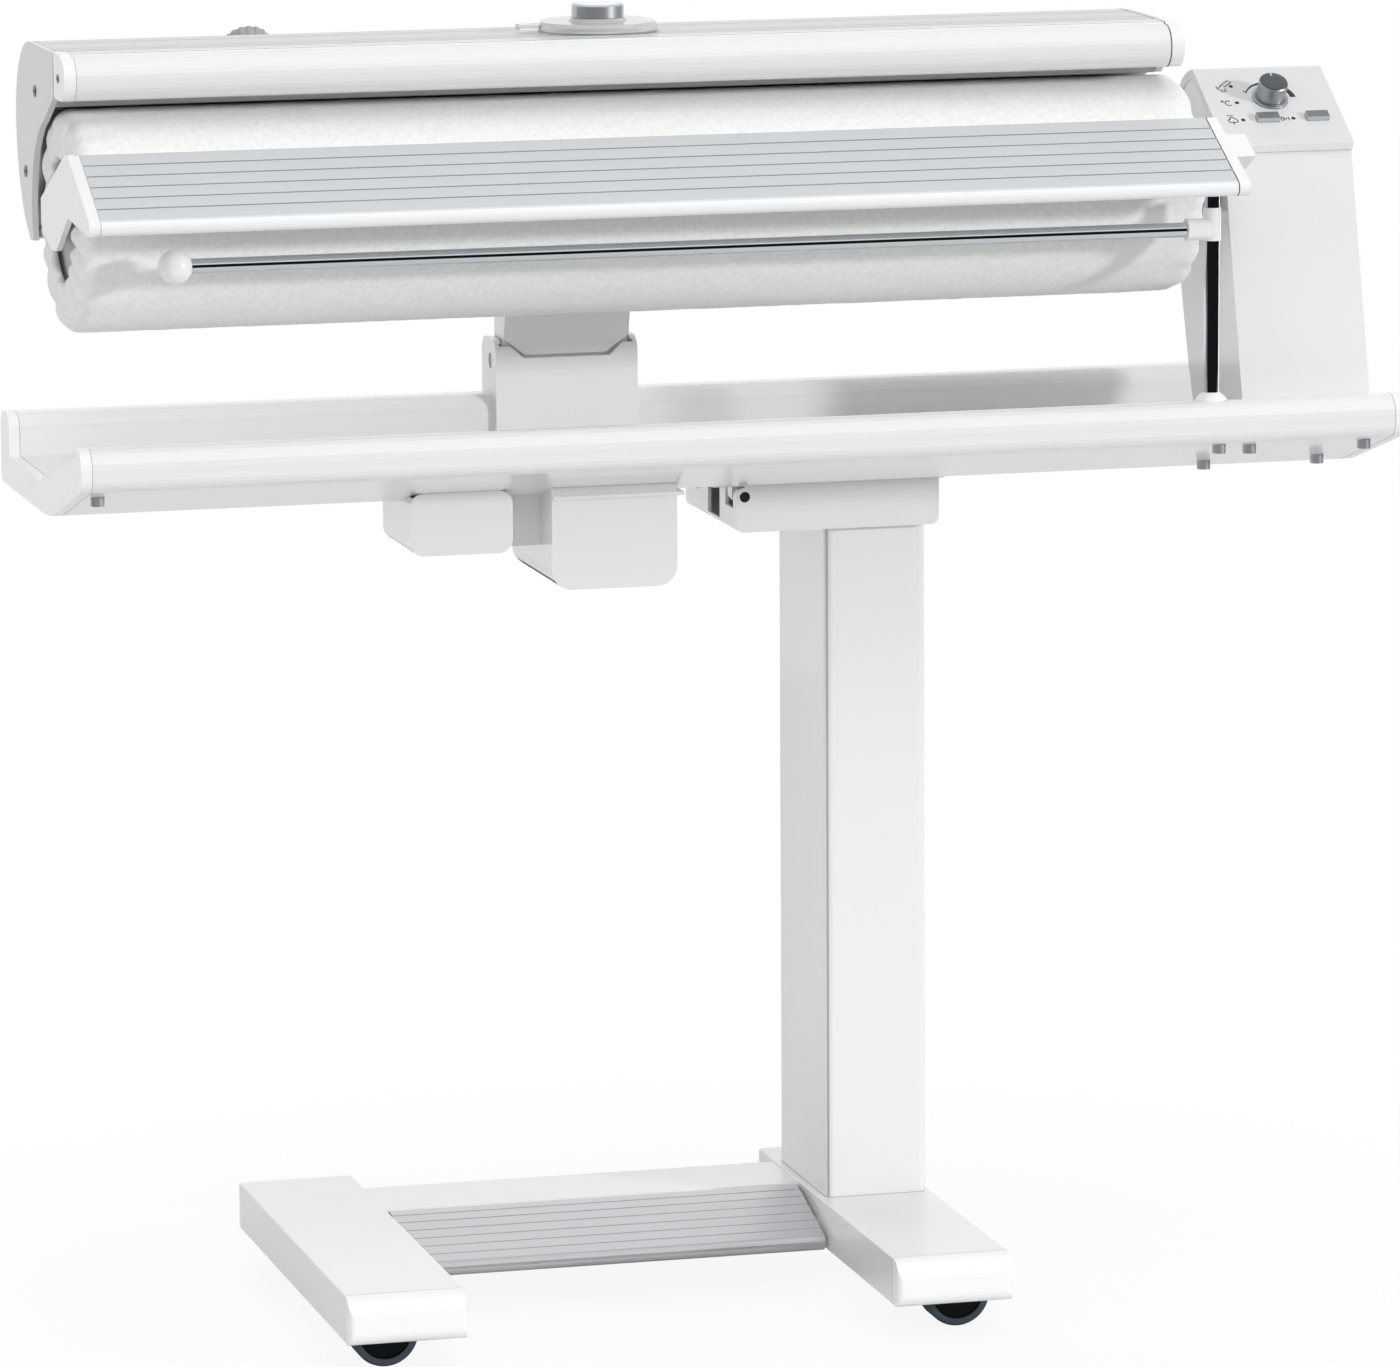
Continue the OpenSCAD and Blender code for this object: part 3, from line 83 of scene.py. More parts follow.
def new_material(name, base, roughness, metallic=0.0):
    material = bpy.data.materials.new(name)
    material.use_nodes = True
    material.diffuse_color = (*base, 1.0)
    set_shader(material, {
        "Base Color": (*base, 1.0), "Roughness": roughness, "Metallic": metallic})
    return material


# A node in a tree. Each of its inputs is fed by a socket or set to a plain value.
def wired(tree, kind, inputs, **settings):
    node = tree.nodes.new(kind)
    for setting, value in settings.items():
        setattr(node, setting, value)
    for socket, value in inputs.items():
        if isinstance(value, bpy.types.NodeSocket):
            tree.links.new(value, node.inputs[socket])
        else:
            node.inputs[socket].default_value = value
    return node


def mixed(tree, share, first, second):
    # A colour mix takes its share at socket 0 and its colours at 6 and 7, and puts out
    # the mixed colour at 2.
    return wired(
        tree, "ShaderNodeMix", {0: share, 6: first, 7: second}, data_type="RGBA").outputs[2]


# An empty shader group with its named sockets, and the coordinates that it may use.
def open_group(name, inputs, outputs):
    group = bpy.data.node_groups.new(name, "ShaderNodeTree")
    for way, sockets in (("INPUT", inputs), ("OUTPUT", outputs)):
        for label, kind in sockets.items():
            group.interface.new_socket(name=label, in_out=way, socket_type="NodeSocket" + kind)
    given = group.nodes.new("NodeGroupInput").outputs
    place = group.nodes.new("ShaderNodeTexCoord").outputs
    return group, given, place


def close_group(group, results):
    wired(group, "NodeGroupOutput", results)
    return group


# A group placed in a material with its own values, feeding the material's shader.
def lay_group(material, group, values):
    tree = material.node_tree
    shader = tree.nodes["Principled BSDF"]
    node = wired(tree, "ShaderNodeGroup", values, node_tree=group)
    for result in node.outputs:
        socket = "Base Color" if result.name == "Color" else result.name
        tree.links.new(result, shader.inputs[socket])
    return node


def surface_group():
    group, given, place = open_group(
        "surface_grain",
        {"Tone A": "Color", "Tone B": "Color", "Tone scale": "Float", "Grain scale": "Float",
         "Grain depth": "Float", "Rough low": "Float", "Rough high": "Float"},
        {"Color": "Color", "Roughness": "Float", "Normal": "Vector"})
    cloud = wired(group, "ShaderNodeTexNoise", {
        "Vector": place["Object"], "Scale": given["Tone scale"], "Detail": 3.0}).outputs["Fac"]
    rough = wired(group, "ShaderNodeMapRange", {
        "Value": cloud, "To Min": given["Rough low"], "To Max": given["Rough high"]})
    grain = wired(group, "ShaderNodeTexNoise", {
        "Vector": place["Object"], "Scale": given["Grain scale"], "Detail": 2.0})
    bump = wired(group, "ShaderNodeBump", {
        "Height": grain.outputs["Fac"], "Strength": given["Grain depth"], "Distance": 0.0002})
    return close_group(group, {
        "Color": mixed(group, cloud, given["Tone A"], given["Tone B"]),
        "Roughness": rough.outputs["Result"], "Normal": bump.outputs["Normal"]})


surface_grain = surface_group()


def grained(
        name, base, roughness, metallic=0.0, *,
        tones, rough, tone_scale, grain_scale, grain_depth):
    material = new_material(name, base, roughness, metallic)
    lay_group(material, surface_grain, {
        "Tone A": (*tones[0], 1), "Tone B": (*tones[1], 1), "Tone scale": tone_scale,
        "Grain scale": grain_scale, "Grain depth": grain_depth,
        "Rough low": rough[0], "Rough high": rough[1]})
    return material


enamel = grained(
    "white_powder_coat", (0.80, 0.805, 0.81), 0.27,
    tones=((0.800, 0.806, 0.812), (0.806, 0.812, 0.817)), rough=(0.15, 0.18),
    tone_scale=2.0, grain_scale=650.0, grain_depth=0.015)
set_shader(enamel, {"Coat Weight": 0.35, "Coat Roughness": 0.08})


def finish_nodes(material, *names):
    for name in names:
        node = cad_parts[name]
        if not node.material_slots:
            node.data.materials.append(material)
        for slot in node.material_slots:
            slot.material = material


# A piece made from points in mm and faces, riding on one body of the machine.
def build_piece(name, shape, material, body, smooth=False):
    points, faces = shape
    net = bmesh.new()
    corners = [net.verts.new(Vector(point) * millimetre) for point in points]
    for face in faces:
        net.faces.new([corners[i] for i in face])
    bmesh.ops.recalc_face_normals(net, faces=net.faces[:])
    mesh = bpy.data.meshes.new(name)
    net.to_mesh(mesh)
    net.free()
    for polygon in mesh.polygons:
        polygon.use_smooth = smooth
    mesh.materials.append(material)
    piece = bpy.data.objects.new(name, mesh)
    bpy.context.scene.collection.objects.link(piece)
    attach(piece, body)
    return piece


def together(*shapes):
    points, faces = [], []
    for more_points, more_faces in shapes:
        start = len(points)
        points.extend(more_points)
        faces.extend([[start + i for i in face] for face in more_faces])
    return points, faces


# The faces between rings of points, where every ring has the same number of sides.
def tube_faces(rings, sides, closed):
    faces = []
    for i in range(rings if closed else rings - 1):
        here, there = sides * i, sides * ((i + 1) % rings)
        for k in range(sides):
            m = (k + 1) % sides
            faces.append([here + k, here + m, there + m, there + k])
    if not closed:
        last = sides * (rings - 1)
        faces.append(list(range(sides))[::-1])
        faces.append([last + k for k in range(sides)])
    return faces


strip_corners = ((-1, -1), (1, -1), (1, 1), (-1, 1))


# A thin bar of rectangular section laid along a path.
def strip_along(path, across, width, height, closed=False):
    path = [Vector(point) for point in path]
    across = Vector(across)
    count = len(path)
    points = []
    for i, point in enumerate(path):
        before = path[i - 1] if closed or i else point
        after = path[(i + 1) % count] if closed or i < count - 1 else point
        out = (after - before).normalized().cross(across)
        for s, t in strip_corners:
            points.append(point + across * (s * width / 2) + out * (t * height / 2))
    return points, tube_faces(count, len(strip_corners), closed)


def low(name):
    return Vector(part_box(name)[0]) * in_millimetres


def high(name):
    return Vector(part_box(name)[1]) * in_millimetres


def girth(loop):
    return sum((Vector(a) - Vector(b)).length for a, b in zip(loop, loop[1:] + loop[:1]))


# The outline of a node's flat end: the longest loop of edges that only one of the
# end's faces uses.
def end_outline(name, axis, place, flat_within=0.05):
    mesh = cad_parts[name].data
    seen = {}
    for polygon in mesh.polygons:
        corners = [mesh.vertices[i].co * in_millimetres for i in polygon.vertices]
        if all(abs(corner[axis] - place) < flat_within for corner in corners):
            keys = [tuple(round(value, 2) for value in corner) for corner in corners]
            for a, b in zip(keys, keys[1:] + keys[:1]):
                if a != b:
                    edge = (min(a, b), max(a, b))
                    seen[edge] = seen.get(edge, 0) + 1
    beside = {}
    for (a, b), times in seen.items():
        if times == 1:
            beside.setdefault(a, []).append(b)
            beside.setdefault(b, []).append(a)
    loops = []
    while beside:
        start = min(beside)
        loop, here = [start], start
        while beside.get(here):
            there = beside[here].pop()
            beside[there].remove(here)
            if not beside[here]:
                del beside[here]
            here = there
            if here == start:
                break
            loop.append(here)
        if not beside.get(start):
            beside.pop(start, None)
        loops.append(loop)
    return max(loops, key=girth)


# A fine joint laid round the low or high end of a node.
def joint_ring(node, letter, end, width, height):
    axis = "xyz".index(letter)
    across = [float(k == axis) for k in range(3)]
    outline = end_outline(node, axis, end(node)[axis])
    return strip_along(outline, across, width, height, closed=True)


# A pale grey for fine open joints. It is also used for the painted shade line along the column's
# fold.
soft_joint_and_shade_line = grained(
    "pale_open_joint_and_shade_line", (0.42, 0.43, 0.45), 0.7,
    tones=((0.40, 0.41, 0.43), (0.45, 0.46, 0.48)), rough=(0.65, 0.75),
    tone_scale=30.0, grain_scale=900.0, grain_depth=0.1)
dark_joint = grained(
    "dark_open_joint", (0.05, 0.052, 0.055), 0.7,
    tones=((0.045, 0.047, 0.05), (0.07, 0.072, 0.075)), rough=(0.65, 0.75),
    tone_scale=30.0, grain_scale=900.0, grain_depth=0.1)
tight_joint = {"width": 0.5, "height": 0.16}
open_joint = {"width": 0.8, "height": 0.2}
wide_joint = {"width": 0.9, "height": 0.2}

finish_nodes(enamel, "foot_left", "foot_right", "crossbar", "column")
for side in ("left", "right"):
    build_piece(
        "nose_joint_" + side, joint_ring("foot_" + side, "y", low, **tight_joint),
        soft_joint_and_shade_line, "base")
# A fine grey line also follows the column's folded left front corner. It is painted shade,
# standing for the dark reflection in the rounded fold.
fold_radius = 6.0
fold_inset = fold_radius * (1 - math.sqrt(0.5))
fold_across = Vector((1, -1, 0)).normalized()
fold_shade_line = [(low("column").x + fold_inset, low("column").y + fold_inset, z)
             for z in (low("column").z + 1, high("column").z - 1)]
build_piece(
    "column_joint_and_fold_shade",
    together(
        joint_ring("column", "z", low, **wide_joint),
        strip_along(fold_shade_line, fold_across, width=1.6, height=0.3)),
    soft_joint_and_shade_line, "base")

# Noses and end plugs of the feet: injection moulded ABS, pushed into the channels.
# They are a touch smoother and warmer than the coated steel beside them.
moulded = grained(
    "white_moulding", (0.864, 0.869, 0.869), 0.28,
    tones=((0.861, 0.866, 0.867), (0.867, 0.871, 0.871)), rough=(0.22, 0.26),
    tone_scale=3.0, grain_scale=1200.0, grain_depth=0.02)
finish_nodes(moulded, "foot_cap_left", "foot_cap_right", "foot_end_left", "foot_end_right")

# Castors: black nylon swivel heads on steel stems, with twin wheels that have
# grey elastomer tyres pressed on black hubs.
nylon = grained(
    "black_nylon", (0.02, 0.022, 0.024), 0.4,
    tones=((0.012, 0.013, 0.015), (0.02, 0.022, 0.024)), rough=(0.3, 0.42),
    tone_scale=40.0, grain_scale=1800.0, grain_depth=0.2)


def wheel_group():
    group, given, place = open_group(
        "wheel_tones",
        {"Axle": "Vector", "Hub": "Color", "Tyre": "Color", "Seat": "Float",
         "Softness": "Float"},
        {"Color": "Color", "Roughness": "Float"})
    from_axle = wired(group, "ShaderNodeVectorMath", {
        0: place["Object"], 1: given["Axle"]}, operation="SUBTRACT")
    flat = wired(group, "ShaderNodeVectorMath", {
        0: from_axle.outputs["Vector"], 1: (1, 0, 1)}, operation="MULTIPLY")
    reach = wired(group, "ShaderNodeVectorMath", {0: flat.outputs["Vector"]}, operation="LENGTH")
    inner = wired(group, "ShaderNodeMath", {
        0: given["Seat"], 1: given["Softness"]}, operation="SUBTRACT")
    on_tyre = wired(group, "ShaderNodeMapRange", {
        "Value": reach.outputs["Value"], "From Min": inner.outputs["Value"],
        "From Max": given["Seat"]}).outputs["Result"]
    rough = wired(group, "ShaderNodeMapRange", {"Value": on_tyre, "To Min": 0.3, "To Max": 0.6})
    return close_group(group, {
        "Color": mixed(group, on_tyre, given["Hub"], given["Tyre"]),
        "Roughness": rough.outputs["Result"]})


wheel_tones = wheel_group()
for corner in ("fl", "fr", "rl", "rr"):
    finish_nodes(nylon, "castor_" + corner)
    middle = (low("wheels_" + corner) + high("wheels_" + corner)) / 2
    tyre = new_material("tyre_and_hub_" + corner, (0.07, 0.085, 0.10), 0.5)
    lay_group(tyre, wheel_tones, {
        "Axle": middle * millimetre, "Hub": (0.001, 0.0015, 0.002, 1),
        "Tyre": (0.06, 0.075, 0.09, 1), "Seat": 0.0192, "Softness": 0.0004})
    set_shader(tyre, {"Specular IOR Level": 0.12})
    finish_nodes(tyre, "wheels_" + corner)

# Pedal: one length of ribbed aluminium section, satin anodised. It hangs between the
# feet on two stub pins and is pressed with the toe.
satin_aluminium = grained(
    "satin_aluminium", (0.62, 0.635, 0.65), 0.35, metallic=1.0,
    tones=((0.60, 0.615, 0.635), (0.64, 0.65, 0.665)), rough=(0.3, 0.4),
    tone_scale=12.0, grain_scale=1500.0, grain_depth=0.12)
finish_nodes(satin_aluminium, "pedal")

# Folding hinge: a coated pressing on the column, and a plate with two knuckles
# under the tray that turns on one long pin of blackened steel.
finish_nodes(enamel, "hinge_housing", "hinge_plate")
plain_steel = grained(
    "plain_steel", (0.45, 0.46, 0.47), 0.4, metallic=1.0,
    tones=((0.40, 0.41, 0.42), (0.50, 0.51, 0.52)), rough=(0.3, 0.45),
    tone_scale=25.0, grain_scale=1600.0, grain_depth=0.2)
dark_steel = grained(
    "blackened_steel", (0.05, 0.05, 0.055), 0.4, metallic=1.0,
    tones=((0.04, 0.04, 0.045), (0.07, 0.07, 0.075)), rough=(0.3, 0.45),
    tone_scale=40.0, grain_scale=1600.0, grain_depth=0.2)
finish_nodes(dark_steel, "hinge_pin")
finish_nodes(plain_steel, "pedal_pins")

# Tray: a long hollow section of coated aluminium with a rolled front rail, a rising
# wing, a trough and a back rail, and a moulded cap of the same section at each end.
finish_nodes(enamel, "tray")
finish_nodes(moulded, "tray_end_left", "tray_end_right")
build_piece(
    "tray_joints",
    together(
        joint_ring("tray", "x", low, **tight_joint),
        joint_ring("tray", "x", high, **tight_joint)),
    soft_joint_and_shade_line, "head")

# Housings under the tray: two coated boxes that cover the motor and gears of the
# pressing drive, and the screws that hold what stands on the tray.
finish_nodes(enamel, "motor_housing", "gear_housing")
finish_nodes(plain_steel, "press_unit")
bright_steel = grained(
    "bright_steel", (0.55, 0.57, 0.60), 0.35, metallic=0.7,
    tones=((0.42, 0.44, 0.47), (0.50, 0.52, 0.55)), rough=(0.3, 0.4),
    tone_scale=40.0, grain_scale=1600.0, grain_depth=0.1)
finish_nodes(bright_steel, "tray_bolts")

# Pedestal and heater arm: two white mouldings, the lower one over the back rail and
# the upper one turning on a steel shaft inside it.
finish_nodes(moulded, "pedestal", "heater_arm")
finish_nodes(plain_steel, "arm_shaft")

# Control box: a leaning box of coated steel with a moulded cap that holds the dial,
# two push buttons and four small lamps. The marks are printed on the cap, whose
# sloping face is a shade greyer than its sides.
finish_nodes(enamel, "control_box")
finish_nodes(plain_steel, "drive_unit")
panel_slope = math.radians(32.5)
up_panel = Vector((0, math.cos(panel_slope), math.sin(panel_slope)))
off_panel = Vector((0, -math.sin(panel_slope), math.cos(panel_slope)))
panel_foot = Vector((0, -41.81, 851.404))


# One colour where the surface faces a given way, and another where it turns aside.
def facing_group():
    group, given, place = open_group(
        "facing_tones",
        {"Toward": "Vector", "Facing": "Color", "Aside": "Color", "Start": "Float",
         "End": "Float"},
        {"Color": "Color"})
    toward = wired(group, "ShaderNodeVectorMath", {
        0: place["Normal"], 1: given["Toward"]}, operation="DOT_PRODUCT")
    share = wired(group, "ShaderNodeMapRange", {
        "Value": toward.outputs["Value"], "From Min": given["Start"], "From Max": given["End"]})
    return close_group(group, {
        "Color": mixed(group, share.outputs["Result"], given["Aside"], given["Facing"])})


facing_tones = facing_group()


def two_toned(material, toward, start, end, aside):
    tree = material.node_tree
    own_tone = tree.nodes["Principled BSDF"].inputs["Base Color"].links[0].from_socket
    node = lay_group(material, facing_tones, {
        "Toward": toward, "Start": start, "End": end, "Aside": (*aside, 1)})
    tree.links.new(own_tone, node.inputs["Facing"])


cap_moulding = grained(
    "panel_cap", (0.70, 0.71, 0.715), 0.3,
    tones=((0.695, 0.705, 0.71), (0.705, 0.715, 0.72)), rough=(0.28, 0.33),
    tone_scale=3.0, grain_scale=1200.0, grain_depth=0.03)
two_toned(cap_moulding, off_panel, start=0.90, end=0.985, aside=(0.80, 0.806, 0.812))
finish_nodes(cap_moulding, "control_panel")
panel_length = 89.0
panel_crown = 0.42
mark_height = 0.15


# A place on the panel is given by x along the machine and s up the slope, in mm. The
# panel's face is crowned a little towards its foot.
def panel_point(x, s, rise):
    crown = panel_crown * (1 - s / panel_length)
    return Vector((x, 0, 0)) + panel_foot + up_panel * s + off_panel * (rise + crown)


# A printed stroke on the panel, with one width or a width for each of its points.
def stroke(path, width, closed=False):
    flat_path = [(x, s, 0) for x, s in path]
    spread, faces = strip_along(flat_path, (0, 0, 1), 1.0, 1.0, closed)
    widths = width if isinstance(width, list) else [width] * len(path)
    points = []
    for i, point in enumerate(spread):
        row = i // len(strip_corners)
        x, s = path[row]
        points.append(panel_point(
            x + (point.x - x) * widths[row], s + (point.y - s) * widths[row],
            mark_height if point.z > 0 else -mark_height))
    return points, faces


def turn_path(x, s, radius_x, radius_s, start, stop, steps):
    turns = [math.radians(start + (stop - start) * i / steps) for i in range(steps + 1)]
    return [(x + radius_x * math.cos(a), s + radius_s * math.sin(a)) for a in turns]


ink = grained(
    "panel_ink", (0.10, 0.10, 0.105), 0.5,
    tones=((0.010, 0.010, 0.011), (0.016, 0.016, 0.018)), rough=(0.45, 0.55),
    tone_scale=60.0, grain_scale=2000.0, grain_depth=0.05)
knob_x, knob_s = 435.5, 54.0
pen, broad_pen = 0.75, 1.1
iron_mark = together(
    stroke([(402.0, 71.6), (408.4, 76.6), (410.6, 74.6), (404.4, 69.4)], pen, closed=True),
    stroke([(402.0, 71.6), (400.2, 69.0)], pen),
    stroke([(399.2, 68.0), (399.8, 68.6)], broad_pen),
    stroke([(397.6, 70.2), (398.4, 66.6), (400.2, 65.2), (402.2, 66.2)], pen),
    stroke([(403.0, 64.8), (404.6, 67.2)], pen),
    stroke([(400.2, 63.6), (404.4, 63.9)], pen))
degree_mark = together(
    stroke(turn_path(397.6, 51.9, 0.8, 0.8, 0, 324, 9), pen, closed=True),
    stroke(turn_path(401.9, 49.6, 2.5, 2.8, 48, 312, 12), pen))
steam_mark = together(
    stroke(
        turn_path(397.6, 28.6, 1.6, 1.8, 80, 270, 7)
        + turn_path(401.6, 28.4, 1.8, 1.9, -90, 80, 7)
        + turn_path(399.6, 30.2, 2.0, 2.4, 30, 150, 7), pen, closed=True),
    stroke([(396.6, 35.2), (399.0, 34.2), (401.4, 35.6)], pen),
    stroke([(399.4, 24.2), (399.4, 26.2)], pen))
power_mark = together(
    stroke(turn_path(438.4, 29.1, 1.3, 1.9, 0, 330, 11), pen, closed=True),
    stroke([(440.3, 29.1), (441.9, 29.1)], pen),
    stroke([(443.2, 27.2), (443.2, 31.0)], pen))
scale_radius = 18.2
scale_steps = 40
scale_thin, scale_growth = 0.7, 3.7
dial_scale = together(
    stroke(turn_path(knob_x, knob_s, scale_radius, scale_radius, 158, 2, scale_steps),
           [scale_thin + scale_growth * i / scale_steps for i in range(scale_steps + 1)]),
    stroke([(knob_x - 16.6, knob_s + 8.4), (knob_x - 18.6, knob_s + 9.4)], pen))
build_piece(
    "panel_marks", together(iron_mark, degree_mark, steam_mark, power_mark, dial_scale),
    ink, "head")


# Each ring of a turned shape is given by its radius and its rise, in mm.
def turned(place, out, rings, steps=24):
    place, out = Vector(place), Vector(out).normalized()
    side = out.orthogonal().normalized()
    other = out.cross(side)
    points = []
    for radius, rise in rings:
        for k in range(steps):
            a = 2 * math.pi * k / steps
            around = side * math.cos(a) + other * math.sin(a)
            points.append(place + out * rise + around * radius)
    return points, tube_faces(len(rings), steps, closed=False)


lamp_places = ((409.3, 69.7), (408.6, 49.9), (407.7, 29.2), (446.8, 29.3))
lamp_rings = (
    (1.7, -0.4), (1.7, 0.1), (1.45, 0.25), (1.3, 0.25), (1.1, 0.5), (0.6, 0.7), (0.15, 0.75))
lamp_black = grained(
    "unlit_lamp", (0.02, 0.02, 0.022), 0.15,
    tones=((0.018, 0.018, 0.02), (0.026, 0.026, 0.028)), rough=(0.12, 0.18),
    tone_scale=60.0, grain_scale=2000.0, grain_depth=0.02)
build_piece(
    "panel_lamps",
    together(*[turned(panel_point(x, s, 0), off_panel, lamp_rings) for x, s in lamp_places]),
    lamp_black, "head", smooth=True)

# Dial and buttons: the dial is a tapered moulding with a metal sleeve and a dark top
# that carries a white pointer. It turns inside a fixed metal ring on the cap. The
# buttons have dark faces and pale sides.
satin_sleeve = grained(
    "satin_sleeve", (0.50, 0.52, 0.55), 0.3, metallic=1.0,
    tones=((0.36, 0.38, 0.41), (0.42, 0.44, 0.47)), rough=(0.34, 0.42),
    tone_scale=40.0, grain_scale=1800.0, grain_depth=0.08)
grey_knob = grained(
    "grey_knob", (0.20, 0.215, 0.23), 0.4,
    tones=((0.050, 0.058, 0.066), (0.064, 0.072, 0.080)), rough=(0.4, 0.5),
    tone_scale=60.0, grain_scale=2500.0, grain_depth=0.1)
button_grey = grained(
    "button_grey", (0.16, 0.17, 0.18), 0.35,
    tones=((0.15, 0.16, 0.17), (0.17, 0.18, 0.19)), rough=(0.28, 0.36),
    tone_scale=60.0, grain_scale=2500.0, grain_depth=0.08)
two_toned(button_grey, off_panel, start=0.7, end=0.95, aside=(0.52, 0.53, 0.545))
finish_nodes(satin_sleeve, "temp_knob")
finish_nodes(button_grey, "button_left", "button_right")
round_steps = 64
dial_seat, dial_gap, dial_height = 1.5, 0.3, 14.0
dial_top = dial_seat + dial_gap + dial_height
build_piece(
    "dial_ring",
    turned(panel_point(knob_x, knob_s, 0), off_panel,
           ((13.6, -0.3), (13.6, 1.2), (13.2, 1.65), (11.5, 1.65), (11.25, 1.4), (11.25, 1.0)),
           round_steps),
    satin_sleeve, "head", smooth=True)
build_piece(
    "dial_top",
    turned(panel_point(knob_x, knob_s, dial_top), off_panel,
           ((10.3, -0.3), (10.3, 0.1), (10.0, 0.3), (6.0, 0.42), (1.0, 0.5)), round_steps),
    grey_knob, "temp_knob", smooth=True)
pointer_white = grained(
    "pointer_white", (0.75, 0.75, 0.75), 0.5,
    tones=((0.72, 0.72, 0.72), (0.78, 0.78, 0.78)), rough=(0.45, 0.55),
    tone_scale=60.0, grain_scale=2000.0, grain_depth=0.05)
pointer_start, pointer_end, pointer_rise = 6.6, 9.6, 0.35
pointer_line = [panel_point(knob_x, knob_s + s, dial_top + pointer_rise)
                for s in (pointer_start, pointer_end)]
build_piece(
    "dial_pointer", strip_along(pointer_line, (1, 0, 0), width=0.9, height=0.3),
    pointer_white, "temp_knob")

# Roller: a steel drum wrapped in springy felt, with a soft cloth drawn over it. The
# cloth is gathered by a cord round both ends, so it lies in folds there. The drum
# turns on a fixed tube.
# Painted light: the drum and its tube are a pale matt grey, not steel, so the roller's hollow
# ends look lit.
drum_painted_light_grey = grained(
    "drum_painted_light_grey", (0.55, 0.56, 0.57), 0.5,
    tones=((0.53, 0.54, 0.55), (0.57, 0.58, 0.59)), rough=(0.45, 0.55),
    tone_scale=20.0, grain_scale=1200.0, grain_depth=0.05)
finish_nodes(drum_painted_light_grey, "roller_drum", "roller_axle")
roller_line = Vector((0, -12, 822.5))
roller_start = low("roller_padding").x
roller_end = high("roller_padding").x
roller_long = roller_end - roller_start
roller_radius = 80.0
drum_radius = 72.0
lining_radius = drum_radius + 0.2
eye_radius = 45.0
eye_lip = 0.6
wad = 6.0


# The cover's rounded edge, from its flat end to its round side.
def rounded_edge(size, steps=7):
    turns = [math.radians(90 * k / steps) for k in range(steps + 1)]
    return [(size * (1 - math.cos(a)), roller_radius - size * (1 - math.sin(a))) for a in turns]


# Each row of the cover is given by its x from the roller's start and its radius.
def cover_profile():
    left_round, right_round = 13.0, 12.0
    left_folds, right_folds = 70.0, 30.0
    near_step, far_step = 4, 8
    rows = [(eye_lip, eye_radius + eye_lip), (0.0, eye_radius + 3)]
    rows += [(0.0, radius) for radius in (51, 55, 59, 63)]
    rows += rounded_edge(left_round)
    x = left_round + 3
    while x < roller_long - right_round - 1:
        rows.append((x, roller_radius))
        in_middle = left_folds <= x < roller_long - right_round - right_folds
        x += far_step if in_middle else near_step
    rows += [(roller_long - inset, radius) for inset, radius in rounded_edge(right_round)[::-1]]
    rows += [(roller_long, radius) for radius in (63, 57, 51)]
    rows += [(roller_long - eye_lip, eye_radius + eye_lip)]
    rows += [(roller_long - wad, eye_radius), (roller_long - wad, lining_radius)]
    rows += [(roller_long / 2, lining_radius), (wad, lining_radius), (wad, eye_radius)]
    return rows


# The folds round an end, uneven in width and in depth.
def gathers(turn, seed, folds=17):
    wave = (folds * turn + 1.3 * math.sin(3 * turn + seed)
            + 0.8 * math.sin(5 * turn + 2 * seed))
    depth = 0.72 + 0.28 * math.sin(4 * turn + seed)
    return (0.5 + 0.5 * math.cos(wave)) ** 1.6 * depth


# The gathers puff out of the flat ends and run out in shallow folds along the side.
def felt_cover(steps=208):
    left_seed, right_seed = 0.7, 2.9
    puff, puff_reach, puff_start, puff_full = 4.6, 5, 4, 12
    fold_depth, fold_reach = 3.0, 46
    flat_end = 14
    lump, lump_size, nap, nap_size = 0.42, 11, 0.16, 3.2
    rows = cover_profile()
    points = []
    for x, radius in rows:
        lining = radius <= lining_radius and wad <= x <= roller_long - wad
        on_left = x < roller_long / 2
        from_end = min(x, roller_long - x)
        for k in range(steps):
            turn = 2 * math.pi * k / steps
            shift, sink = 0.0, 0.0
            if not lining:
                fold = gathers(turn, left_seed if on_left else right_seed)
                on_face = max(0.0, 1 - from_end / puff_reach)
                in_from_edge = (roller_radius - radius + puff_start) / puff_full
                shift = puff * fold * on_face * min(1.0, in_from_edge)
                if radius >= roller_radius - flat_end:
                    sink = fold_depth * fold * max(0.0, 1 - from_end / fold_reach) ** 1.5
                here = Vector((x, radius * math.cos(turn), radius * math.sin(turn)))
                sink += lump * noise.noise(here / lump_size) + nap * noise.noise(here / nap_size)
            if not on_left:
                shift = -shift
            reach = radius - sink
            points.append(roller_line + Vector((
                roller_start + x + shift, reach * math.cos(turn), reach * math.sin(turn))))
    return points, tube_faces(len(rows), steps, closed=True)


def felt_group():
    group, given, place = open_group(
        "felt_nap",
        {"Pale": "Color", "Shade": "Color", "Tuft scale": "Float", "Fibre scale": "Float"},
        {"Color": "Color", "Normal": "Vector"})
    tuft_share, fibre_share = 0.55, 0.45
    tufts = wired(group, "ShaderNodeTexNoise", {
        "Vector": place["Object"], "Scale": given["Tuft scale"], "Detail": 4.0,
        "Roughness": 0.62})
    fibres = wired(group, "ShaderNodeTexNoise", {
        "Vector": place["Object"], "Scale": given["Fibre scale"], "Detail": 3.0})
    share = wired(group, "ShaderNodeMath", {
        0: tufts.outputs["Fac"], 1: tuft_share}, operation="MULTIPLY")
    both = wired(group, "ShaderNodeMath", {
        0: fibres.outputs["Fac"], 1: fibre_share, 2: share.outputs["Value"]},
        operation="MULTIPLY_ADD").outputs["Value"]
    sharper = wired(group, "ShaderNodeMapRange", {
        "Value": both, "From Min": 0.38, "From Max": 0.62})
    bump = wired(group, "ShaderNodeBump", {"Height": both, "Distance": 0.0006, "Strength": 0.5})
    return close_group(group, {
        "Color": mixed(group, sharper.outputs["Result"], given["Shade"], given["Pale"]),
        "Normal": bump.outputs["Normal"]})


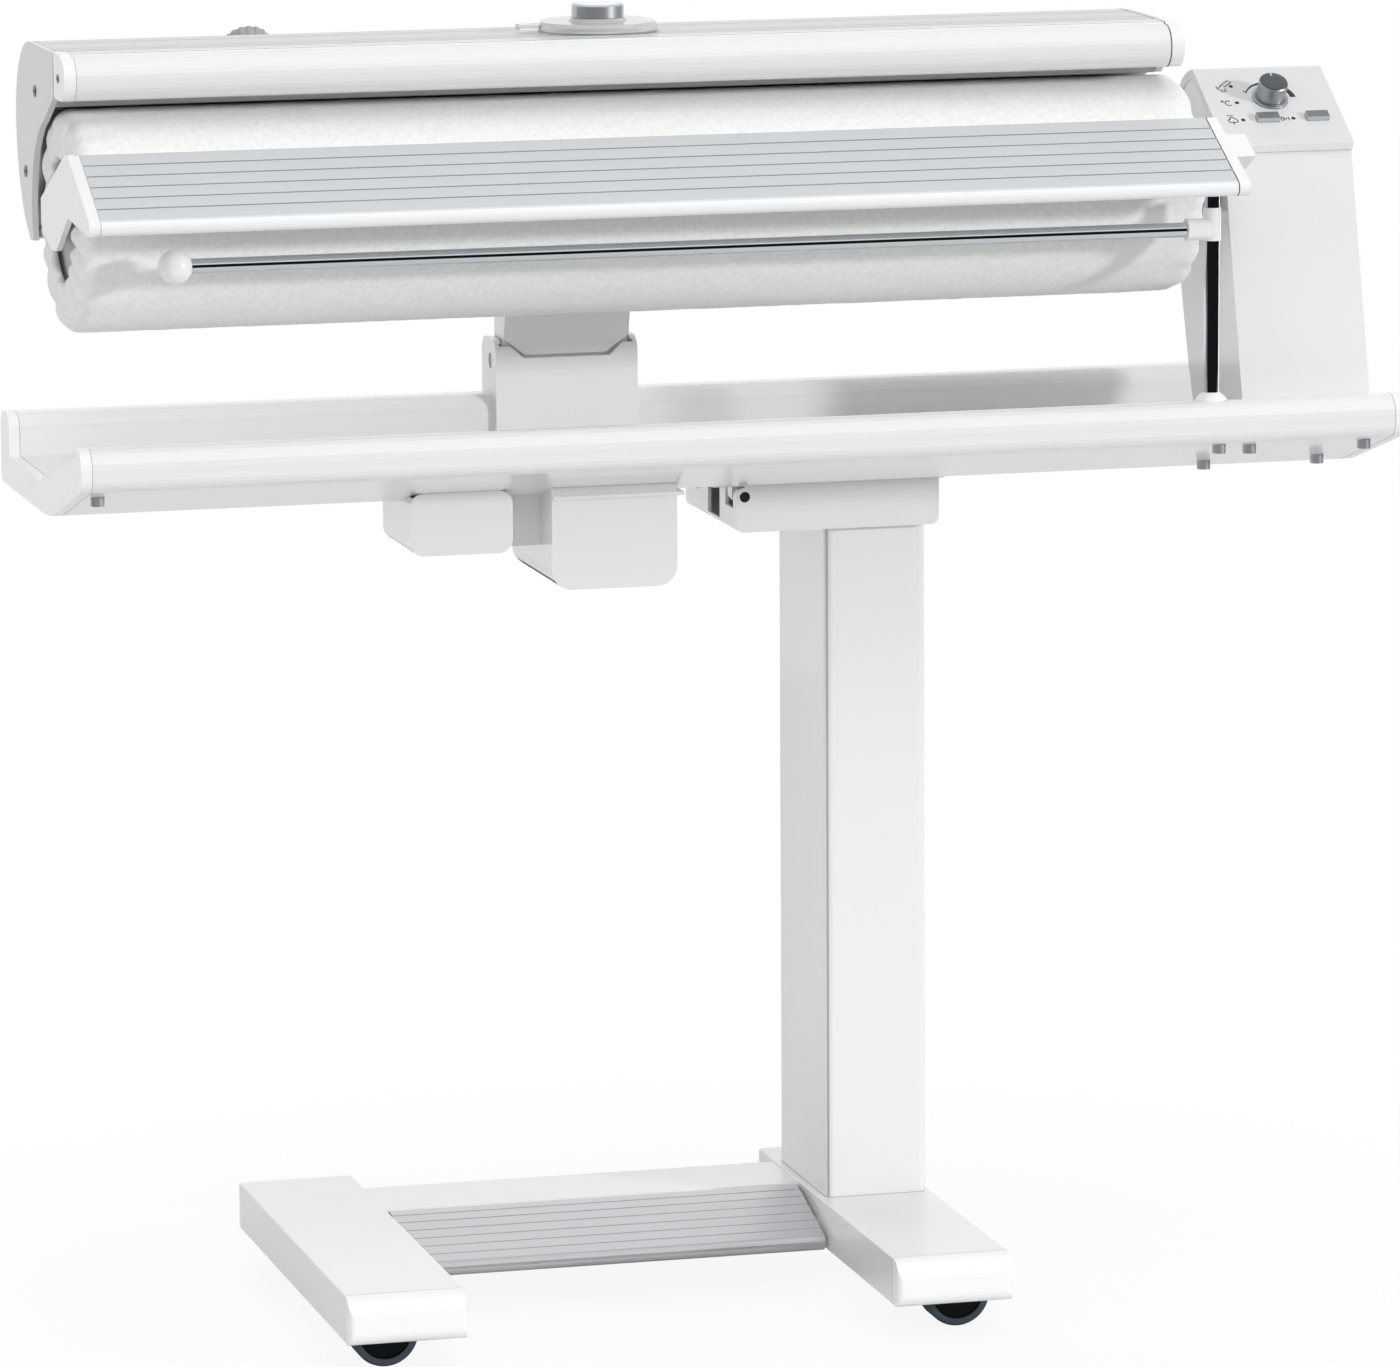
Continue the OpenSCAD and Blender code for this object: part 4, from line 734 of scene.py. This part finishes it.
felt = new_material("felt_and_cloth", (0.88, 0.88, 0.87), 0.95)
lay_group(felt, felt_group(), {
    "Pale": (0.92, 0.92, 0.91, 1), "Shade": (0.82, 0.825, 0.82, 1),
    "Tuft scale": 230.0, "Fibre scale": 620.0})
set_shader(felt, {"Sheen Weight": 0.25, "Sheen Roughness": 0.6, "Specular IOR Level": 0.2})
cover = build_piece("felt_cover", felt_cover(), felt, "roller", smooth=True)
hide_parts("roller_padding")

# Feed board: a flat grooved section of grey anodised aluminium with a rounded nose,
# held between two moulded end brackets. The nose is painted pale as a painted highlight,
# and painted shade darkens the five grooves.
board_grey_and_nose_highlight = grained(
    "board_anodised", (0.60, 0.625, 0.64), 0.35,
    tones=((0.595, 0.615, 0.635), (0.605, 0.63, 0.645)), rough=(0.3, 0.36),
    tone_scale=8.0, grain_scale=1500.0, grain_depth=0.06)
# Painted highlight: where the board turns down into its nose, the grey gives way to pale.
two_toned(board_grey_and_nose_highlight, (0, 0, 1), start=0.72, end=0.86, aside=(0.86, 0.865, 0.87))
finish_nodes(board_grey_and_nose_highlight, "feed_board")
finish_nodes(moulded, "board_bracket_left", "board_bracket_right")
board_slope = math.radians(27)
board_bearing = math.radians(141)
board_reach = 86.0
board_depth = 84.0
grooves = 5
board_back = roller_line + board_reach * Vector((
    0, math.cos(board_bearing), math.sin(board_bearing)))
down_board = Vector((0, -math.cos(board_slope), -math.sin(board_slope)))
groove_shade = grained(
    "groove_shade", (0.24, 0.25, 0.26), 0.6,
    tones=((0.22, 0.23, 0.24), (0.28, 0.29, 0.30)), rough=(0.55, 0.65),
    tone_scale=20.0, grain_scale=1200.0, grain_depth=0.1)


# A fine line along a node, stopping a little short of both its ends.
def line_across(node, y, z, across, width, height, end_gap=0.3):
    ends = (low(node).x + end_gap, high(node).x - end_gap)
    return strip_along([(x, y, z) for x in ends], across, width, height)


# Painted shade: a dark strip lies along each groove.
groove_shade_strips = []
for i in range(1, grooves + 1):
    spot = board_back + down_board * (board_depth * i / (grooves + 1))
    groove_shade_strips.append(
        line_across("feed_board", spot.y, spot.z, down_board, width=0.9, height=0.12))
build_piece("board_groove_shade", together(*groove_shade_strips), groove_shade, "head")
build_piece(
    "board_joint_right", joint_ring("feed_board", "x", high, **open_joint),
    dark_joint, "head")
build_piece(
    "board_joint_left", joint_ring("feed_board", "x", low, **tight_joint),
    soft_joint_and_shade_line, "head")

# Laundry rail: chromed steel tube, swinging on a post in a moulded socket, with a
# moulded tee where post and rod meet and a ball on the free end.
chrome = grained(
    "bright_chrome", (0.66, 0.69, 0.72), 0.05, metallic=1.0,
    tones=((0.64, 0.67, 0.70), (0.68, 0.71, 0.74)), rough=(0.04, 0.08),
    tone_scale=20.0, grain_scale=1200.0, grain_depth=0.02)
finish_nodes(chrome, "rail_post", "rail_rod")
finish_nodes(moulded, "rail_socket", "rail_tee", "rail_ball")

# Heater: a polished aluminium sole under a coated sheet hood with an end plate at
# each side, and the steam water tank between them. The hood's flat top is painted greyer
# as painted shade, its plates are greyer than its bent front and back, and two screws
# hold the left plate.
finish_nodes(satin_aluminium, "heater_shoe")
hood_coat_with_painted_shade = grained(
    "hood_coat_with_painted_shade", (0.54, 0.55, 0.56), 0.3,
    tones=((0.535, 0.545, 0.555), (0.545, 0.555, 0.565)), rough=(0.26, 0.3),
    tone_scale=2.0, grain_scale=650.0, grain_depth=0.015)
# Painted shade: the flat top, picked by the way it faces, is painted grey and the rest of the
# hood white.
two_toned(hood_coat_with_painted_shade, (0, 0, 1), start=0.955, end=0.992, aside=(0.80, 0.806, 0.812))
plate_grey = grained(
    "plate_grey", (0.63, 0.64, 0.65), 0.3,
    tones=((0.625, 0.635, 0.645), (0.635, 0.645, 0.655)), rough=(0.26, 0.3),
    tone_scale=2.0, grain_scale=650.0, grain_depth=0.015)
finish_nodes(hood_coat_with_painted_shade, "hood")
finish_nodes(plate_grey, "hood_end_left", "hood_end_right")
finish_nodes(plain_steel, "water_tank")
# Each line on the hood's top is given by its y and its width.
hood_lines = ((-15.5, 1.6), (-3.0, 1.2), (38.0, 1.6))
build_piece(
    "hood_lines",
    together(*[line_across("hood", y, high("hood").z, (0, 1, 0), width, height=0.15)
               for y, width in hood_lines]),
    soft_joint_and_shade_line, "heater")
build_piece(
    "hood_joint_right", joint_ring("hood", "x", high, **open_joint),
    dark_joint, "heater")
build_piece(
    "hood_joint_left", joint_ring("hood", "x", low, **tight_joint),
    soft_joint_and_shade_line, "heater")
screw_rings = (
    (4.4, -0.4), (4.4, 0.3), (3.9, 0.9), (2.1, 1.1), (1.7, 1.0), (1.6, 0.2), (0.3, 0.1))
screw_places = ((40.2, 911.1), (82.5, 849.0))
screw_grey = grained(
    "screw_grey", (0.22, 0.23, 0.24), 0.35, metallic=1.0,
    tones=((0.20, 0.21, 0.22), (0.26, 0.27, 0.28)), rough=(0.28, 0.4),
    tone_scale=60.0, grain_scale=1800.0, grain_depth=0.1)
plate_face = low("hood_end_left").x
build_piece(
    "plate_screws",
    together(*[turned((plate_face, y, z), (-1, 0, 0), screw_rings) for y, z in screw_places]),
    screw_grey, "heater", smooth=True)

# Finger guard: a coated aluminium rail with moulded ends, hinged at the hood's
# front edge. The hinge leaves three fine lines along its top.
finish_nodes(enamel, "guard_rail")
finish_nodes(moulded, "guard_end_left", "guard_end_right")
build_piece(
    "guard_joint_right", joint_ring("guard_rail", "x", high, **wide_joint),
    dark_joint, "guard")
build_piece(
    "guard_joint_left", joint_ring("guard_rail", "x", low, **tight_joint),
    soft_joint_and_shade_line, "guard")
guard_top = high("guard_rail").z
guard_back = high("guard_rail").y
# Each hinge line is given by its distance from the back edge and its width.
hinge_lines = ((2.5, 1.6), (12.0, 1.2), (22.6, 1.0))
build_piece(
    "guard_hinge_lines",
    together(*[line_across("guard_rail", guard_back - inset, guard_top, (0, 1, 0), width,
                           height=0.2) for inset, width in hinge_lines]),
    soft_joint_and_shade_line, "guard")
small_rings = (
    (3.4, -0.3), (3.4, 0.2), (3.0, 0.6), (1.7, 0.8), (1.4, 0.7), (1.3, 0.2), (0.3, 0.1))
build_piece(
    "guard_screw",
    turned((low("guard_end_left").x, -50.5, 928.5), (-1, 0, 0), small_rings),
    screw_grey, "guard", smooth=True)

# Filler and drain: a clear turning lid with a satin metal knob on top of the hood,
# and a ribbed grey knob at its back.
clear_grey = grained(
    "clear_grey", (0.55, 0.57, 0.59), 0.2,
    tones=((0.80, 0.815, 0.825), (0.84, 0.85, 0.86)), rough=(0.08, 0.14),
    tone_scale=20.0, grain_scale=1500.0, grain_depth=0.02)
set_shader(clear_grey, {"Transmission Weight": 0.55, "IOR": 1.49})
finish_nodes(clear_grey, "filler_lid")
pale_sleeve = grained(
    "pale_sleeve", (0.60, 0.62, 0.64), 0.35, metallic=0.8,
    tones=((0.50, 0.52, 0.54), (0.58, 0.60, 0.62)), rough=(0.3, 0.38),
    tone_scale=40.0, grain_scale=1800.0, grain_depth=0.08)
finish_nodes(pale_sleeve, "filler_knob")
drain_grey = grained(
    "drain_grey", (0.34, 0.35, 0.36), 0.45,
    tones=((0.32, 0.33, 0.34), (0.36, 0.37, 0.38)), rough=(0.4, 0.48),
    tone_scale=60.0, grain_scale=2500.0, grain_depth=0.1)
finish_nodes(drain_grey, "drain_knob")
knob_middle = (low("filler_knob") + high("filler_knob")) / 2
build_piece(
    "filler_knob_top",
    turned((knob_middle.x, knob_middle.y, high("filler_knob").z), (0, 0, 1),
           ((16.6, -0.3), (16.6, 0.05), (16.2, 0.15), (1.0, 0.2)), round_steps),
    moulded, "filler_knob", smooth=True)

# Studio floor: a sheet of matt white paper under the machine. It shines plain white to
# the camera and through glass, fully so away from the machine, and keeps its shadow.
def studio_floor(half=2.6, tiles=24):
    mesh = bpy.data.meshes.new("studio_floor")
    net = bmesh.new()
    grid = [
        [net.verts.new((half * (2 * i / tiles - 1), half * (2 * j / tiles - 1), 0.0))
         for j in range(tiles + 1)]
        for i in range(tiles + 1)
    ]
    for i in range(tiles):
        for j in range(tiles):
            net.faces.new((grid[i][j], grid[i + 1][j], grid[i + 1][j + 1], grid[i][j + 1]))
    net.to_mesh(mesh)
    net.free()
    floor = bpy.data.objects.new("studio_floor", mesh)
    bpy.context.scene.collection.objects.link(floor)
    return floor


# The rays from the camera and through glass, which see plain white.
def seen_directly(tree, rays):
    seen = wired(tree, "ShaderNodeMath", {
        0: rays["Is Camera Ray"], 1: rays["Is Transmission Ray"]}, operation="MAXIMUM")
    return seen.outputs["Value"]


full_white = {"Color": (1, 1, 1, 1), "Strength": 1.0}
floor = studio_floor()
floor_paint = new_material("studio_white", (0.78, 0.78, 0.78), 0.9)
tree = floor_paint.node_tree
seen = seen_directly(tree, tree.nodes.new("ShaderNodeLightPath").outputs)
where = tree.nodes.new("ShaderNodeTexCoord").outputs["Object"]
reach = wired(tree, "ShaderNodeVectorMath", {0: where}, operation="LENGTH")
fade = wired(tree, "ShaderNodeMapRange", {
    "Value": reach.outputs["Value"], "From Min": 0.25, "From Max": 0.9, "To Min": 0.9,
    "To Max": 1.0}, interpolation_type="SMOOTHSTEP")
share = wired(tree, "ShaderNodeMath", {0: fade.outputs["Result"], 1: seen}, operation="MULTIPLY")
floor_mix = wired(tree, "ShaderNodeMixShader", {
    0: share.outputs["Value"], 1: tree.nodes["Principled BSDF"].outputs["BSDF"],
    2: wired(tree, "ShaderNodeEmission", full_white).outputs["Emission"]})
tree.links.new(floor_mix.outputs["Shader"], tree.nodes["Material Output"].inputs["Surface"])
floor.data.materials.append(floor_paint)

# Room: white to the camera and in glass. In polished metal a dark band lies along the
# horizon in front of the machine, where the unlit half of the studio is.
world = bpy.data.worlds.new("studio_room")
bpy.context.scene.world = world
world.use_nodes = True
tree = world.node_tree
room = tree.nodes["Background"]
room.inputs["Color"].default_value = (0.95, 0.97, 1.0, 1)
room.inputs["Strength"].default_value = 0.28
rays = tree.nodes.new("ShaderNodeLightPath").outputs
seen = seen_directly(tree, rays)
look = tree.nodes.new("ShaderNodeTexCoord").outputs["Generated"]
toward = wired(tree, "ShaderNodeSeparateXYZ", {0: look}).outputs
height = wired(tree, "ShaderNodeMath", {0: toward["Z"]}, operation="ABSOLUTE")
ahead = wired(tree, "ShaderNodeMapRange", {
    "Value": toward["Y"], "From Min": 0.60, "From Max": 0.35}, interpolation_type="SMOOTHSTEP")
level = wired(tree, "ShaderNodeMapRange", {
    "Value": height.outputs["Value"], "From Min": 0.50, "From Max": 0.34},
    interpolation_type="SMOOTHSTEP")
band = wired(tree, "ShaderNodeMath", {
    0: ahead.outputs["Result"], 1: level.outputs["Result"]}, operation="MULTIPLY")
mirror_tone = wired(tree, "ShaderNodeMapRange", {
    "Value": band.outputs["Value"], "To Min": 1.0, "To Max": 0.01})
mirror_room = wired(tree, "ShaderNodeBackground", {
    "Color": mirror_tone.outputs["Result"], "Strength": 1.0})
glossy_mix = wired(tree, "ShaderNodeMixShader", {
    0: rays["Is Glossy Ray"], 1: room.outputs["Background"],
    2: mirror_room.outputs["Background"]})
room_mix = wired(tree, "ShaderNodeMixShader", {
    0: seen, 1: glossy_mix.outputs["Shader"],
    2: wired(tree, "ShaderNodeBackground", full_white).outputs["Background"]})
tree.links.new(room_mix.outputs["Shader"], tree.nodes["World Output"].inputs["Surface"])

# Lamps: a small one low at the right throws the shadows, and is the only one seen in
# polished metal. Broad lamps stand above, at the left and behind, and a weak one in
# front lifts the undersides.
def soft_light(name, bearing, rise, level, spread, mirrored=False, shadow=True):
    lamp = bpy.data.lights.new(name, "SUN")
    lamp.energy = level * math.pi
    lamp.angle = math.radians(spread)
    lamp.color = (1.0, 0.995, 0.985)
    lamp.use_shadow = shadow
    holder = bpy.data.objects.new(name, lamp)
    bpy.context.scene.collection.objects.link(holder)
    bearing, rise = math.radians(bearing), math.radians(rise)
    toward = Vector((
        math.sin(bearing) * math.cos(rise), -math.cos(bearing) * math.cos(rise), math.sin(rise)))
    holder.location = toward * 4
    holder.rotation_euler = toward.to_track_quat("Z", "Y").to_euler()
    holder.visible_glossy = mirrored


soft_light("top_light", bearing=10, rise=72, level=0.30, spread=60)
soft_light("left_light", bearing=-70, rise=15, level=0.23, spread=50)
soft_light("key_light", bearing=50, rise=12, level=0.50, spread=5, mirrored=True)
soft_light("back_light", bearing=172, rise=32, level=0.36, spread=60)
soft_light("fill_light", bearing=-15, rise=34, level=0.17, spread=60, shadow=False)

bpy.context.scene.view_settings.view_transform = "Standard"
